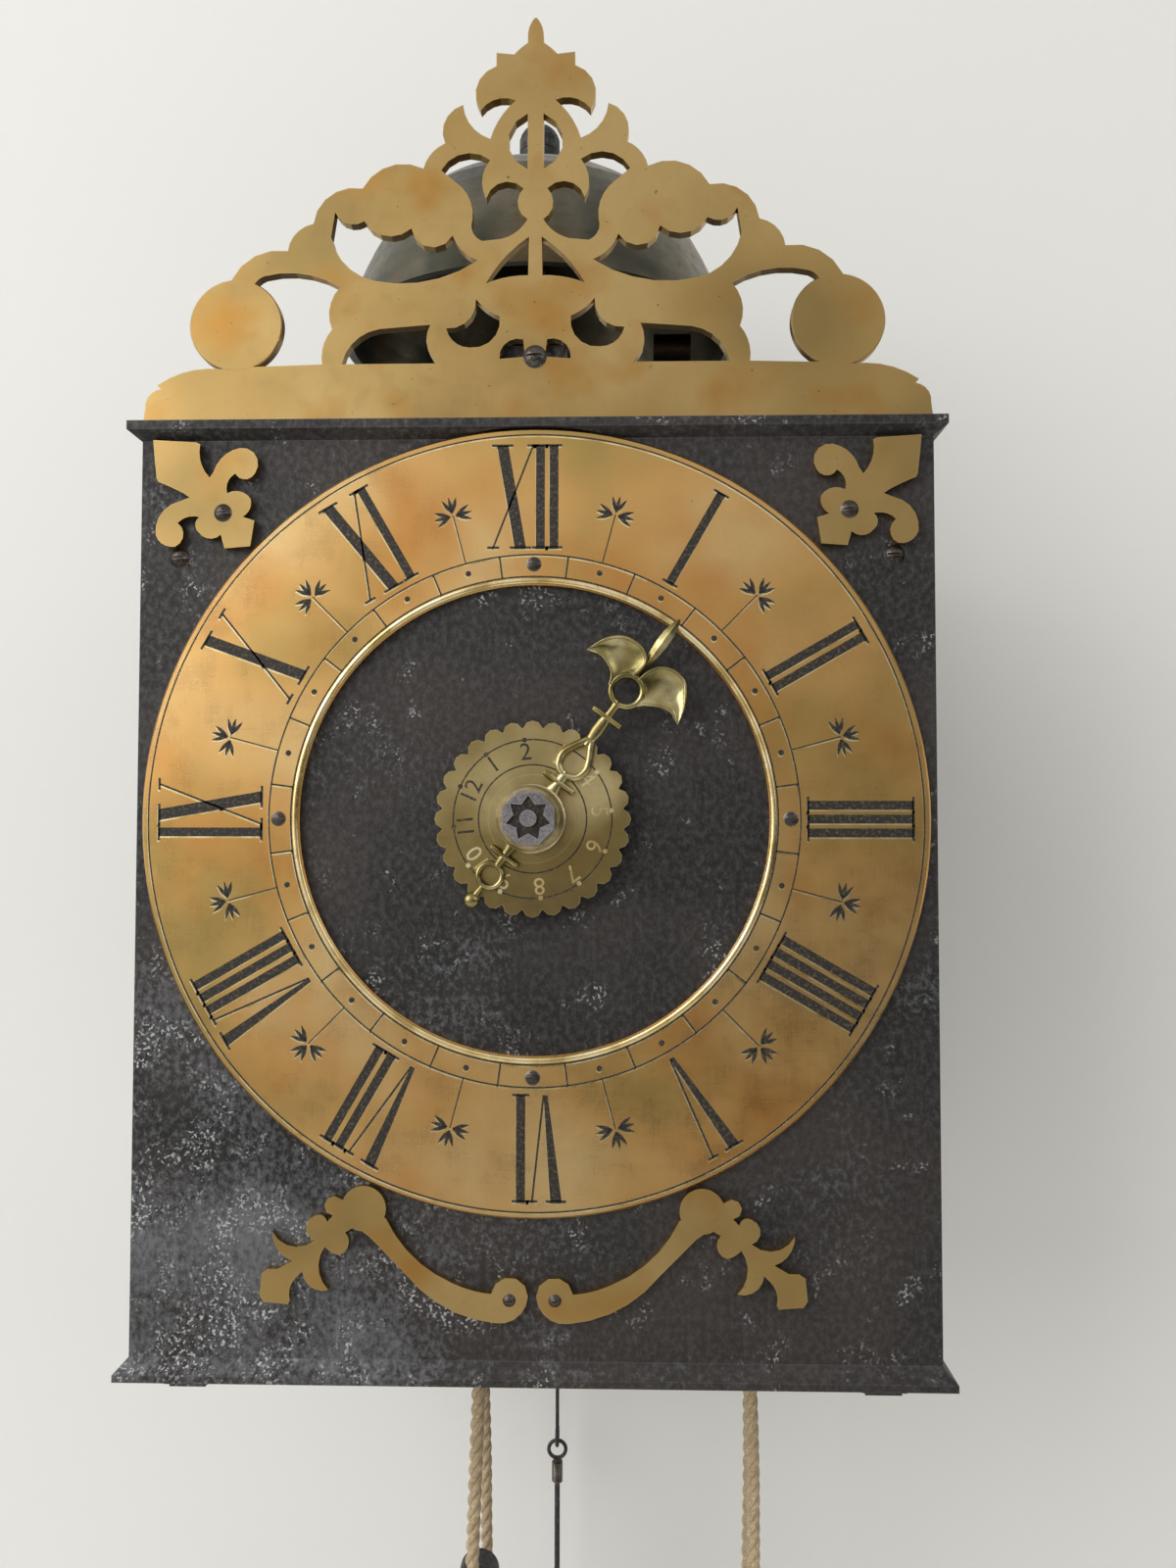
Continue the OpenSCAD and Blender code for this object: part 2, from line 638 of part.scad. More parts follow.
// Steel nut of eight sides with a star-shaped recess and a round boss in it
module hand_nut() at_wall() color(steel) {
  nut_back = collet_back - collet_h;
  slab(nut_back, nut_t) rotate(22.5) circle(r = nut_r, $fn = 8);
  slab(nut_back - nut_t, 0.8) difference() {
    rotate(22.5) circle(r = nut_r, $fn = 8);
    polygon([for (i = [0:13]) polar(i%2 == 0 ? nut_r - 1.2 : nut_r - 3, i*180/7 + 90)]);
  }
  slab(nut_back - nut_t, 1.4) circle(r = 2);
}

// Hour wheel with the tube that carries the alarm disc and the hand
module hour_wheel() at_wall() color(wheel_brass) {
  on_arbor([0, 0], hour_y, tube_r)
    toothed([0, 0], hour_teeth, hour_mod, toward([0, 0], great), hour_y, 4, 8, 5);
  difference() {
    bar_y([0, 0], collet_back - collet_h + free, hour_y + wheel_t + 2, tube_r);
    bar_y([0, 0], collet_back - collet_h, hour_y + wheel_t + 3, stud_r + run);
  }
}

// The left half of the fret, from its foot on the top plate to its tip
fret_left = [[-99.5, 0], [-99, 4], [-98.3, 7, 1], [-95, 9], [-96, 10], [-90, 13, 1], [-79.5, 14],
  [-79, 15],
  [-87.5, 24.5, 1], [-78.5, 33], [-75, 40.5, 1], [-63, 44.5], [-60.5, 49.5, 1], [-56.5, 51.5],
  [-52, 59, 1],
  [-44, 60.5], [-36.5, 66.5, 1], [-28.5, 65.5], [-26, 70, 1], [-23, 72], [-22.5, 79, 1], [-18.5, 82],
  [-16, 76, 1], [-11.5, 73], [-9, 78.5, 1], [-5, 83], [-9.5, 83.5, 1], [-14, 80.5], [-15, 87, 1],
  [-10, 92],
  [-10, 95.5], [-5.5, 95], [-4, 96.5, 1], [-2, 98], [-2, 99.5], [-1.5, 102.5, 1], [-0.3, 104.5]];
// The windows in its left half
fret_windows = [
  [[-24, 65], [-22, 67.5, 1], [-11.5, 67.5], [-13.5, 63, 1], [-12.5, 57.5], [-9, 61.5, 1], [-3, 60],
   [-4.5, 56, 1], [-2, 52], [-4.5, 49, 1], [-8.5, 47], [-13.5, 46.5], [-16, 49, 1], [-16, 52],
   [-17, 58, 1],
   [-20.5, 62]],
  [[-51, 54.5], [-48, 51.5, 1], [-43.5, 52], [-37.5, 48, 1], [-31.5, 50], [-26.5, 45, 1], [-21, 48],
   [-18.5, 44, 1], [-14.5, 41.5], [-29, 36, 1], [-41, 36.5], [-48.5, 41, 1], [-52, 48]],
  [[-73, 14.5], [-54, 15], [-53.5, 20.5, 1], [-51.5, 24], [-52, 30.5, 1], [-49.5, 35], [-59, 38.5, 1],
   [-69, 38], [-71.5, 36, 1], [-72.5, 33], [-64.5, 24.5, 1], [-73, 15.5]],
  [[-49, 15], [-47, 19.5, 1], [-39.5, 24], [-26.5, 25], [-27.5, 20.5, 1], [-24.5, 15]],
  [[-15, 31.5], [-12.5, 29, 1], [-9, 27], [-10, 22, 1], [-16.5, 19], [-20.5, 20.5, 1], [-22.5, 24],
   [-17.5, 25.5, 1]],
  [[-9, 16], [-7.5, 20, 1], [-3, 21], [-2.5, 16.5]],
  [[-1.6, 47.5], [-7, 43, 1], [-12.5, 35.5], [-7.5, 37, 1], [-1.8, 37.5]],
  [[-2, 79.5], [-7, 72.5, 1], [-2, 65]]];

module fret2d() scale([fret_w/199, fret_h/104.5]) difference() {
  polygon(outline(whole(fret_left)));
  for (w = fret_windows) {
    polygon(outline(w));
    mirror([1, 0]) polygon(outline(w));
  }
}

module fret() at_wall() color(fret_brass) difference() {
  slab(fret_t, fret_t) translate([0, top_face]) fret2d();
  bar_y([0, fret_screw_z], -1, fret_t + 1, screw_r + seat);
}

// Bracket behind the fret: a foot screwed to the top plate and an upright behind the bar
module fret_bracket() at_wall() color(iron) difference() {
  union() {
    block_between([-8, fret_t, top_face], [8, fret_t + 2, fret_screw_z + 4]);
    block_between([-8, fret_t, top_face], [8, bracket_screw_y + 5, top_face + 2]);
  }
  bar_y([0, fret_screw_z], 0, fret_t + 3, screw_r + seat);
  upright_hole(0, bracket_screw_y, small_screw_r + seat, top_face - 1, top_face + 3);
}

// Upper left corner ornament, from the corner of the front plate inwards and down
corner_leaf = [[3.5, -0.3], [14.5, -1], [15.5, -1.5], [16.5, -8, 1], [18, -10], [19, -8.5], [21, -5, 1],
  [25.5, -2.5], [30, -5, 1], [29.5, -9], [27, -10.5, 1], [24.5, -9], [22.5, -11.5, 1], [22.5, -14],
  [25.5, -13.5, 1], [28.5, -15.5], [28.5, -17.5, 1], [26.5, -20], [28, -20.5], [29.5, -21], [28.5, -27.5],
  [22, -28], [21, -24.5], [19, -25.5, 1], [15.5, -24], [14.5, -22, 1], [15.5, -20], [12.5, -20, 1],
  [10, -21.5], [11.5, -24, 1], [9.5, -27.5], [6.5, -27, 1], [4.5, -24.5], [5.5, -19.5, 1], [10.5, -16],
  [13, -15],
  [11.5, -14], [8.5, -12.5, 1], [5, -11], [4.5, -10], [4, -5.5]];

// The plate's ornaments, filed clear of the ring
module beside_ring() slab(0, leaf_t) difference() {
  children();
  circle(r = ring_r + 0.1, $fn = 180);
}

module upper_corner_ornaments() at_wall() color(fret_brass) both_sides() difference() {
  beside_ring() translate([-plate_w/2, case_top]) polygon(outline([for (p = corner_leaf) leaf_scale*p]));
  bar_y([-corner_screw[0], corner_screw[1]], -leaf_t - 1, 1, screw_r + seat);
}

// Lower left scroll: a block, leaves and a long stem with a round end at each side of it
scroll_leaf = [[-36, 35], [-29.5, 26, 1], [-19.5, 19.5], [-15.5, 18, 1], [-10, 17], [-5.5, 21, 1],
  [-1, 16.5],
  [-3.5, 11.5, 1], [-9, 10], [-19, 12.5, 1], [-31, 21.5], [-36, 26.5], [-40, 30.5], [-43.5, 33],
  [-46, 31.5],
  [-45.5, 27.5, 1], [-47.5, 26], [-49, 26.5, 1], [-51, 28], [-52.5, 24, 1], [-50, 17.5], [-54, 18, 1],
  [-56.5, 22], [-58, 20.5], [-59.5, 18, 1], [-59.5, 15], [-60, 14], [-66, 14.5], [-67, 16], [-66.5, 21.5],
  [-65, 22.5], [-62.5, 22.5], [-59, 24.5], [-62.5, 27, 1], [-64, 31.5], [-59.5, 28, 1], [-53.5, 29.5],
  [-55.5, 33.5, 1], [-53.5, 35.5], [-51.5, 35.5, 1], [-50.5, 34], [-49, 35.5], [-51, 37, 1], [-47, 39.5]];

module lower_scroll_ornaments() at_wall() color(fret_brass) both_sides() difference() {
  beside_ring() translate([0, case_bottom]) {
    polygon(outline([for (p = scroll_leaf) scroll_scale*p]));
    translate(scroll_scale*[-41.5, 37.3]) circle(r = 5.5*scroll_scale);
  }
  bar_y([-scroll_screw[0], scroll_screw[1]], -leaf_t - 1, 1, small_screw_r + seat);
}

// Small screws of the chapter ring and the ornaments
module dial_screws() at_wall() color(steel) {
  for (a = [0:90:270]) let (p = polar(ring_screw_at, a))
    dome_screw(p[0], p[1], -ring_t, 1.9, 0.6, small_screw_r, ring_t + front_t - 0.2);
  both_sides() {
    dome_screw(corner_screw[0], corner_screw[1], -leaf_t, 2.3, 1, screw_r, leaf_t + front_t - 0.2);
    dome_screw(scroll_screw[0], scroll_screw[1], -leaf_t, 1.6, 0.9, small_screw_r,
      leaf_t + front_t - 0.2);
  }
}

// Side of the bell from its crown to its lip, as two arcs
function bell_side(r, h) = concat([[0, h]], arc_between([0, h], [0.4*r, 0.925*h], [0.72*r, 0.69*h], 7),
  [[0.72*r, 0.69*h]], arc_between([0.72*r, 0.69*h], [0.89*r, 0.36*h], [r, 0], 7), [[r, 0]]);

module bell() at_wall() color(bell_metal) translate([bell_at[0], bell_at[1], bell_mouth]) difference() {
  inner = bell_side(bell_r - bell_t, bell_h - bell_t);
  rotate_extrude($fn = 120)
    polygon(concat(bell_side(bell_r, bell_h), [for (i = [len(inner) - 1:-1:0]) inner[i]]));
  cylinder(r = post_screw_r + seat, h = bell_h + 1);
}

// Post with a turned foot, a shoulder under the bell and a thread through it
module bell_stand() at_wall() color(iron) translate([bell_at[0], bell_at[1], 0]) rotate_extrude() polygon([
  [0, case_top], [post_screw_r, case_top], [post_screw_r, top_face],
  [post_r + 3.5, top_face], [post_r + 3.5, top_face + 2], [post_r + 1.5, top_face + 4],
  [post_r, top_face + 8],
  [post_r, bell_top - bell_t - 6], [post_r + 2, bell_top - bell_t - 3],
  [post_r + 2, bell_top - bell_t - free], [post_screw_r, bell_top - bell_t - free],
  [post_screw_r, bell_top + 13], [0, bell_top + 13]]);

// Dark iron nut with a flange, a scribed barrel and a round top
module bell_nut() at_wall() color(iron) translate([bell_at[0], bell_at[1], bell_top + seat]) difference() {
  rotate_extrude() polygon(concat([[0, 0], [10.2, 0], [10.2, 2], [8.6, 3.2], [6.4, 3.8], [6.4, 10],
    [6.1, 10.3], [6.4, 10.6], [6.4, 14.5]], arc_between([6.4, 14.5], [4.4, 18], [0, 19.5],
    6), [[0, 19.5]]));
  translate([0, 0, -1]) cylinder(r = post_screw_r + seat, h = 15);
}

// One movement bar: an upright with tenons at both ends and an arm to each place off its line
module movement_bar(y, places) difference() {
  slab(y + bar_t, bar_t) {
    translate([bar_x - bar_w/2, case_bottom]) square([bar_w, case_h]);
    translate([bar_x - tenon_w/2, base_face]) square([tenon_w, case_h + base_t + top_t + tenon_up]);
    for (p = places) translate(p) circle(r = 6);
    for (p = places) if (p[0] != bar_x)
      translate([min(p[0], bar_x), p[1] - 4]) square([abs(p[0] - bar_x), 8]);
  }
  block_between([bar_x - wedge_w/2 - seat, y - 1, top_face],
    [bar_x + wedge_w/2 + seat, y + bar_t + 1, top_face + wedge_h + seat]);
}

module pivot_holes(y, places, r) for (p = places) bar_y(p, y - 1, y + bar_t + 1, r + run);

module front_bar() at_wall() color(iron) difference() {
  union() {
    movement_bar(front_bar_y, [great, second, escape, pallets, [0, 0]]);
    bar_y([0, 0], collet_back - collet_h + 1, front_bar_y + 1, stud_r);
  }
  pivot_holes(front_bar_y, [second, escape, pallets], pivot_r);
  pivot_holes(front_bar_y, [great], arbor_r);
}

module middle_bar() at_wall() color(iron) difference() {
  movement_bar(middle_bar_y, [great, second, escape, hoop, warning, fly_at, pallets, hammer_at,
  detent_at]);
  pivot_holes(middle_bar_y, [great, second, escape, hoop, warning, fly_at, hammer_at, detent_at], pivot_r);
  pivot_holes(middle_bar_y, [pallets], arbor_r + free);
}

module rear_bar() at_wall() color(iron) difference() {
  union() {
    movement_bar(rear_bar_y, [great, hoop, warning, fly_at, pallets, hammer_at, detent_at, count_at]);
    bar_y(count_at, rear_bar_y + bar_t, count_y + 2*wheel_t + 3, stud_r);
  }
  pivot_holes(rear_bar_y, [hoop, warning, fly_at, hammer_at], pivot_r);
  pivot_holes(rear_bar_y, [great, detent_at], arbor_r);
  pivot_holes(rear_bar_y, [pallets], arbor_r + free);
}

// Tapered wedges that lock the tenons above the top plate
module bar_wedges() at_wall() color(polished_iron) for (y = [front_bar_y, middle_bar_y, rear_bar_y])
  translate([bar_x - wedge_w/2, 0, 0]) rotate([90, 0, 90]) linear_extrude(wedge_w) polygon([
    [y - 3, top_face], [y + bar_t + 2.5, top_face], [y + bar_t + 2.5, top_face + wedge_h - 0.6],
    [y - 3, top_face + wedge_h]]);

module going_great_wheel() at_wall() color(wheel_brass) {
  on_arbor(great, going_y) toothed(great, going_teeth, going_mod, toward(great, second), going_y, 4, 9, 6);
  pinion(great, report_leaves, hour_mod, toward(great, [0, 0]), hour_y - 1.5, hour_y + wheel_t + 1.5);
  bar_y(great, hour_y - 2.5, middle_bar_y - free, arbor_r);
  bar_y(great, middle_bar_y - 1, middle_bar_y + pivot_in, pivot_r);
  bar_y(great, front_bar_y + bar_t + free, front_bar_y + bar_t + 3, arbor_r + 2);
}

module going_pulley() at_wall() color(wheel_brass) rope_pulley(great, going_pulley_y, going_rope_r);

module second_wheel() at_wall() color(wheel_brass) {
  on_arbor(second, second_y)
    toothed(second, second_teeth, second_mod, toward(second, escape), second_y, 3, 7, 4.5);
  pinion(second, leaves, going_mod, toward(second, great), going_y - 1.5, going_y + wheel_t + 1.5);
  arbor(second, front_bar_y + bar_t, middle_bar_y);
}

// Recoil teeth: a steep leading face, a narrow tip and a long back
module escape2d() difference() {
  p = 360/escape_teeth;
  polygon([for (i = [0:escape_teeth - 1]) each [polar(escape_r - 5, (i - 0.1)*p), polar(escape_r, i*p),
    polar(escape_r, (i + 0.1)*p), polar(escape_r - 5, (i + 0.6)*p)]]);
  crossings(escape_r - 7.5, 5, 3.5);
}

module escape_wheel() at_wall() color(wheel_brass) {
  on_arbor(escape, escape_y) slab(escape_y + wheel_t, wheel_t) translate(escape) escape2d();
  pinion(escape, leaves, second_mod, toward(escape, second), second_y - 1.5, second_y + wheel_t + 1.5);
  arbor(escape, front_bar_y + bar_t, middle_bar_y);
}

// Left half of the anchor about its arbor: the arm sweeps down to its pallet
anchor_left = [[-0.5, -3.5], [-9, -5, 1], [-12.8, -12.6], [-15.6, -10.4], [-12.5, -1, 1], [-4, 3.5],
  [-0.5, 4]];

// Pallets with their long arbor, and the crutch that hangs outside the back plate
module pallet_arbor() at_wall() color(steel) {
  slab(escape_y + wheel_t + 1.5, wheel_t + 3) translate(pallets) polygon(outline(whole(anchor_left)));
  bar_y(pallets, front_bar_y + bar_t + free, cock_y - free, arbor_r);
  bar_y(pallets, front_bar_y + bar_t - pivot_in, front_bar_y + bar_t + 1, pivot_r);
  bar_y(pallets, cock_y - 1, cock_y + 1.5, pivot_r);
  slab(crutch_y + 2, 2) translate(pallets) {
    circle(r = 4);
    translate([-1.5, -crutch_len]) square([3, crutch_len]);
  }
  difference() {
    block_between([pallets[0] - 3.5, crutch_y, axis_z - crutch_len - 2],
      [pallets[0] + 3.5, pendulum_y + 3, axis_z - crutch_len + 1]);
    block_between([pallets[0] - wire_r - free, pendulum_y - 4, axis_z - crutch_len - 3],
      [pallets[0] + wire_r + free, pendulum_y + 4, axis_z - crutch_len + 2]);
  }
}

// Cock behind the back plate: a foot, an arm over the crutch and a leg with the suspension pin
module back_cock() at_wall() color(iron) difference() {
  union() {
    block_between([pallets[0] - 14, case_d, axis_z + 10], [pallets[0] + 14, case_d + 2, axis_z + 29]);
    block_between([pallets[0] - 6, case_d, axis_z + 17], [pallets[0] + 6, cock_y + 3, axis_z + 21]);
    slab(cock_y + 3, 3) translate(pallets) {
      circle(r = 6);
      translate([-6, 0]) square([12, 21]);
    }
    bar_y(pallets, cock_y + 2, pendulum_y + 3, hang_pin_r);
    bar_y(pallets, pendulum_y + wire_r + free, pendulum_y + wire_r + 1.6, hang_pin_r + 1.2);
  }
  bar_y(pallets, cock_y - 1, cock_y + 1.8, pivot_r + run);
  for (z = cock_screws_z) for (s = [-1, 1])
    bar_y([pallets[0] + s*cock_screw_x, z], case_d - 1, case_d + 3, small_screw_r + seat);
}

// A closed eye of round wire about an axis along Y
module eye_y(x, y, z, r, wire) translate([x, y, z]) rotate([90, 0, 0])
  rotate_extrude() translate([r, 0]) circle(r = wire, $fn = 24);

// A closed eye of round wire about an axis along X
module eye_x(x, y, z, r, wire) translate([x, y, z]) rotate([0, 90, 0])
  rotate_extrude() translate([r, 0]) circle(r = wire, $fn = 24);

module upright(x, y, from, to, r) translate([x, y, from]) cylinder(r = r, h = to - from);

module pendulum_wire() at_wall() color(iron) {
  top_eye = hang_pin_r + run + wire_r;
  eye_y(pallets[0], pendulum_y, axis_z, top_eye, wire_r);
  upright(pallets[0], pendulum_y, link_z + link_r, axis_z - top_eye, wire_r);
  eye_x(pallets[0], pendulum_y, link_z, link_r, wire_r);
}

module pendulum_rod() at_wall() color(iron) {
  eye_y(pallets[0], pendulum_y, low_link_z, link_r, wire_r);
  upright(pallets[0], pendulum_y, low_link_z - link_r - 7, low_link_z - link_r, wire_r*2.2);
  upright(pallets[0], pendulum_y, bob_z - bob_r - 14, low_link_z - link_r, rod_r);
}

// Lens of brass: two shallow domes and a turned edge, bored for the rod
module pendulum_bob() at_wall() color(wheel_brass) difference() {
  translate([pallets[0], pendulum_y, bob_z]) rotate([90, 0, 0]) rotate_extrude($fn = 96) polygon(concat(
    [[0, bob_t/2]], arc_between([0, bob_t/2], [bob_r*0.55, bob_t*0.38], [bob_r, 0.8], 7),
    [[bob_r, 0.8], [bob_r, -0.8]],
    arc_between([bob_r, -0.8], [bob_r*0.55, -bob_t*0.38], [0, -bob_t/2], 7), [[0, -bob_t/2]]));
  upright(pallets[0], pendulum_y, bob_z - bob_r - 1, bob_z + bob_r + 1, rod_r + seat);
}

module rating_nut() at_wall() color(wheel_brass)
  translate([pallets[0], pendulum_y, bob_z - bob_r - 4.2]) difference() {
  union() {
    cylinder(r = 5, h = 3);
    cylinder(r = 2.6, h = 4.1);
  }
  translate([0, 0, -1]) cylinder(r = rod_r + seat, h = 7);
}

module strike_great_wheel() at_wall() color(wheel_brass) {
  on_arbor(great, strike_y) toothed(great, going_teeth, strike_mod, toward(great, hoop), strike_y, 6, 9, 6);
  pinion(great, count_leaves, count_mod, toward(great, count_at), count_y - 1, count_y + wheel_t + 1);
  bar_y(great, middle_bar_y + bar_t + free, count_y + wheel_t + 2, arbor_r);
  bar_y(great, middle_bar_y + bar_t - pivot_in, middle_bar_y + bar_t + 1, pivot_r);
}

// Eight pins that stand on the front of the striking great wheel
module lifting_pins() at_wall() color(steel) for (a = [22.5:45:360])
  bar_y(great + polar(hammer_pin_at, a), strike_y - lifting_pin_h, strike_y, lifting_pin_r);

module strike_pulley() at_wall() color(wheel_brass) rope_pulley(great, strike_pulley_y, strike_rope_r);

// Locking hoop with one gap, on the rear face of its wheel
module locking_hoop() at_wall() color(wheel_brass) slab(hoop_y + wheel_t + hoop_h, hoop_h)
  translate(hoop) difference() {
    circle(r = hoop_ring_r);
    circle(r = hoop_ring_r - 1.6);
    rotate(200) translate([hoop_ring_r - 4, -3]) square([8, 6]);
  }

module hoop_wheel() at_wall() color(wheel_brass) {
  on_arbor(hoop, hoop_y) toothed(hoop, hoop_teeth, hoop_mod, toward(hoop, warning), hoop_y, 6, 7, 4.5);
  pinion(hoop, leaves, strike_mod, toward(hoop, great), strike_y - 1.5, strike_y + wheel_t + 1.5);
  arbor(hoop, middle_bar_y + bar_t, rear_bar_y);
}

module warning_wheel() at_wall() color(wheel_brass) {
  on_arbor(warning, warning_y)
    toothed(warning, warning_teeth, warning_mod, toward(warning, fly_at), warning_y, 3, 6, 4);
  pinion(warning, leaves, hoop_mod, toward(warning, hoop), hoop_y - 1.5, hoop_y + wheel_t + 1.5);
  bar_y(warning + polar(warning_teeth*warning_mod/2 - 3, 90), warning_y - 4, warning_y + 0.5, 0.9);
  arbor(warning, middle_bar_y + bar_t, rear_bar_y);
}

// Two-bladed fly that brakes the striking
module fly() at_wall() color(wheel_brass) {
  block_between([fly_at[0] - fly_r, fly_y, fly_at[1] - 0.5],
    [fly_at[0] + fly_r, fly_y + fly_w, fly_at[1] + 0.5]);
  bar_y(fly_at, fly_y, fly_y + fly_w, arbor_r + 1);
  pinion(fly_at, leaves, warning_mod, toward(fly_at, warning), warning_y - 1.5, warning_y + wheel_t + 1.5);
  arbor(fly_at, middle_bar_y + bar_t, rear_bar_y);
}

// Turns of the count wheel, in blows, before each slot: 1, 3, 6 and so on to 78
function blows(hour) = hour*(hour + 1)/2;

module count_wheel() at_wall() color(wheel_brass) {
  slab(count_y + wheel_t, wheel_t) translate(count_at) difference() {
    rotate(toward(count_at, great)) wheel2d(count_teeth, count_mod, 10, 9, 6);
    circle(r = stud_r + run);
  }
  slab(count_y + 2*wheel_t, wheel_t) translate(count_at) difference() {
    circle(r = count_plate_r);
    circle(r = count_plate_r - 7);
    for (hour = [1:12]) rotate(blows(hour)*360/count_teeth)
      translate([count_plate_r - 4, -1.2]) square([6, 2.4]);
  }
}

// Hammer: arbor, slanting stem, cylindrical head inside the bell and a short tail at the pin circle
module hammer() at_wall() color(steel) {
  head = [bell_at[0] + bell_r - bell_t - 13 - hammer_gap, bell_mouth + 6];
  length = norm(head - hammer_at);
  difference() {
    union() {
      slab(hammer_y + hammer_stem_t/2, hammer_stem_t) translate(hammer_at)
        rotate(toward(hammer_at, head) - 90) {
        translate([-2, 0]) square([4, length]);
        circle(r = 4);
      }
      slab(strike_y - 1, 4) translate(hammer_at) rotate(toward(hammer_at, great)) {
        translate([0, -1.5]) square([5.5, 3]);
        circle(r = 3.5);
      }
    }
    bar_y(hammer_at, middle_bar_y, rear_bar_y, arbor_r + seat);
  }
  translate([head[0] - 6, hammer_y, head[1]]) rotate([0, 90, 0]) cylinder(r = 5, h = 12);
  arbor(hammer_at, middle_bar_y + bar_t, rear_bar_y);
}

// Leaf spring that stands on the bottom plate below the hammer's arbor
module hammer_spring() at_wall() color(steel) {
  block_between([hammer_at[0] + 4, hammer_y - 4, case_bottom],
    [hammer_at[0] + 14, hammer_y + 4, case_bottom + 2]);
  block_between([hammer_at[0] + 4, hammer_y - 4, case_bottom],
    [hammer_at[0] + 5, hammer_y + 4, hammer_at[1] - 6.5]);
}

// Detent: one arm to the hoop between the bars and one to the count wheel behind the rear bar
module detent_lever() at_wall() color(steel) {
  slab(hoop_y + wheel_t + hoop_h, hoop_h - 0.8) translate(detent_at) rotate(toward(detent_at, hoop)) {
    translate([0, -2]) square([norm(hoop - detent_at) - hoop_ring_r - 1.4, 4]);
    circle(r = 4.5);
  }
  slab(count_y + 2*wheel_t, wheel_t - free) translate(detent_at) rotate(toward(detent_at, count_beak)) {
    translate([0, -2]) square([norm(count_beak - detent_at), 4]);
    circle(r = 4.5);
  }
  bar_y(detent_at, middle_bar_y + bar_t + free, count_y + 2*wheel_t, arbor_r);
  bar_y(detent_at, middle_bar_y + bar_t - pivot_in, middle_bar_y + bar_t + 1, pivot_r);
}

// Rope over a pulley: half a turn in the groove and two strands down to the bottom plate
module rope_over(x_left, x_right, y, radius) {
  translate([great[0], y, great[1]]) rotate([90, 0, 0]) rotate_extrude(angle = 180, $fn = 72)
    translate([radius, 0]) circle(r = rope_r, $fn = 24);
  for (x = [x_left, x_right]) upright(x, y, rope_exit_z, great[1], rope_r);
}

module rope_over_going_pulley() at_wall() color(hemp)
  rope_over(left_x, right_x, going_pulley_y, going_rope_r);
module rope_over_strike_pulley() at_wall() color(hemp)
  rope_over(left_rear_x, right_rear_x, strike_pulley_y, strike_rope_r);

function unit(v) = v/norm(v);

// A tube of eight sides along a route that never runs along X
module tube(route, r, sides = 8) {
  n = len(route);
  rings = [for (i = [0:n - 1])
    let (t = unit(route[min(i + 1, n - 1)] - route[max(i - 1, 0)]),
         u = unit([1, 0, 0] - t[0]*t), v = cross(t, u))
    for (k = [0:sides - 1]) route[i] + r*(cos(k*360/sides)*u + sin(k*360/sides)*v)];
  sheet = [for (i = [0:n - 2]) for (k = [0:sides - 1])
    let (a = i*sides + k, b = i*sides + (k + 1)%sides)
    each [[a, b, b + sides], [a, b + sides, a + sides]]];
  polyhedron(points = concat(rings, [route[0], route[n - 1]]), faces = concat(sheet,
    [for (k = [0:sides - 1]) [(k + 1)%sides, k, n*sides]],
    [for (k = [0:sides - 1]) [(n - 1)*sides + k, (n - 1)*sides + (k + 1)%sides, n*sides + 1]]));
}

// Route of the left loop: down from the going pulley, under the weight's pulley and up at the rear
left_route = [
  [-18, 45, -136], [-18, 45, -142], [-18.5, 46, -160], [-19.5, 47.5, -185], [-20.5, 49, -210],
  [-21.5, 50.5, -235], [-22, 51, -250], [-22, 51, -262], [-22, 52.5, -271], [-22, 57, -279],
  [-22, 64, -285],
  [-22, 73, -288], [-22, 82, -288], [-22, 91, -285], [-22, 98, -279], [-22, 102.5, -271], [-22, 104, -262],
  [-22, 104, -250], [-22.5, 104.5, -235], [-23, 106, -210], [-24, 107.5, -185], [-25, 109, -160],
  [-25.5, 110, -142], [-25.5, 110, -136]];
// Route of the right loop: down, under the counterweight ring's bar and up again
right_route = [
  [58, 45, -136], [58, 45, -142], [58.5, 48, -160], [59.5, 52, -185], [60, 56, -210], [60.5, 60.5, -235],
  [61, 65, -260], [61.5, 68, -276], [61.5, 69, -285], [61.5, 70, -289.5], [61.5, 73, -292.5],
  [61.5, 77.5, -294],
  [61.5, 82, -292.5], [61.5, 85, -289.5], [61.5, 86, -285], [61.5, 87, -276], [62, 90, -260],
  [62.5, 94.5, -235],
  [63.5, 99, -210], [64, 103, -185], [65, 107, -160], [65.5, 110, -142], [65.5, 110, -136]];

module rope_left_loop() at_wall() color(hemp) tube(left_route, rope_r);
module rope_right_loop() at_wall() color(hemp) tube(right_route, rope_r);

// Grooved wheel that rides in the rope
module weight_pulley() at_wall() color(wheel_brass) translate(block) rotate([0, 90, 0])
  rotate_extrude($fn = 72) difference() {
    translate([axle_r + run, -sheave_w/2]) square([block_rope_r + 1.5 - axle_r - run, sheave_w]);
    translate([block_rope_r, 0]) circle(r = sheave_groove_r);
    translate([block_rope_r, -sheave_groove_r]) square([10, 2*sheave_groove_r]);
    for (s = [-1, 1]) translate([7, s*sheave_w/2 - 1.5]) square([block_rope_r - 15, 3]);
  }

// A long loop of strap: two straight sides closed by half circles
module strap2d(half_w, half_h) {
  for (s = [-1, 1]) translate([0, s*half_h]) circle(r = half_w);
  square([2*half_w, 2*half_h], center = true);
}

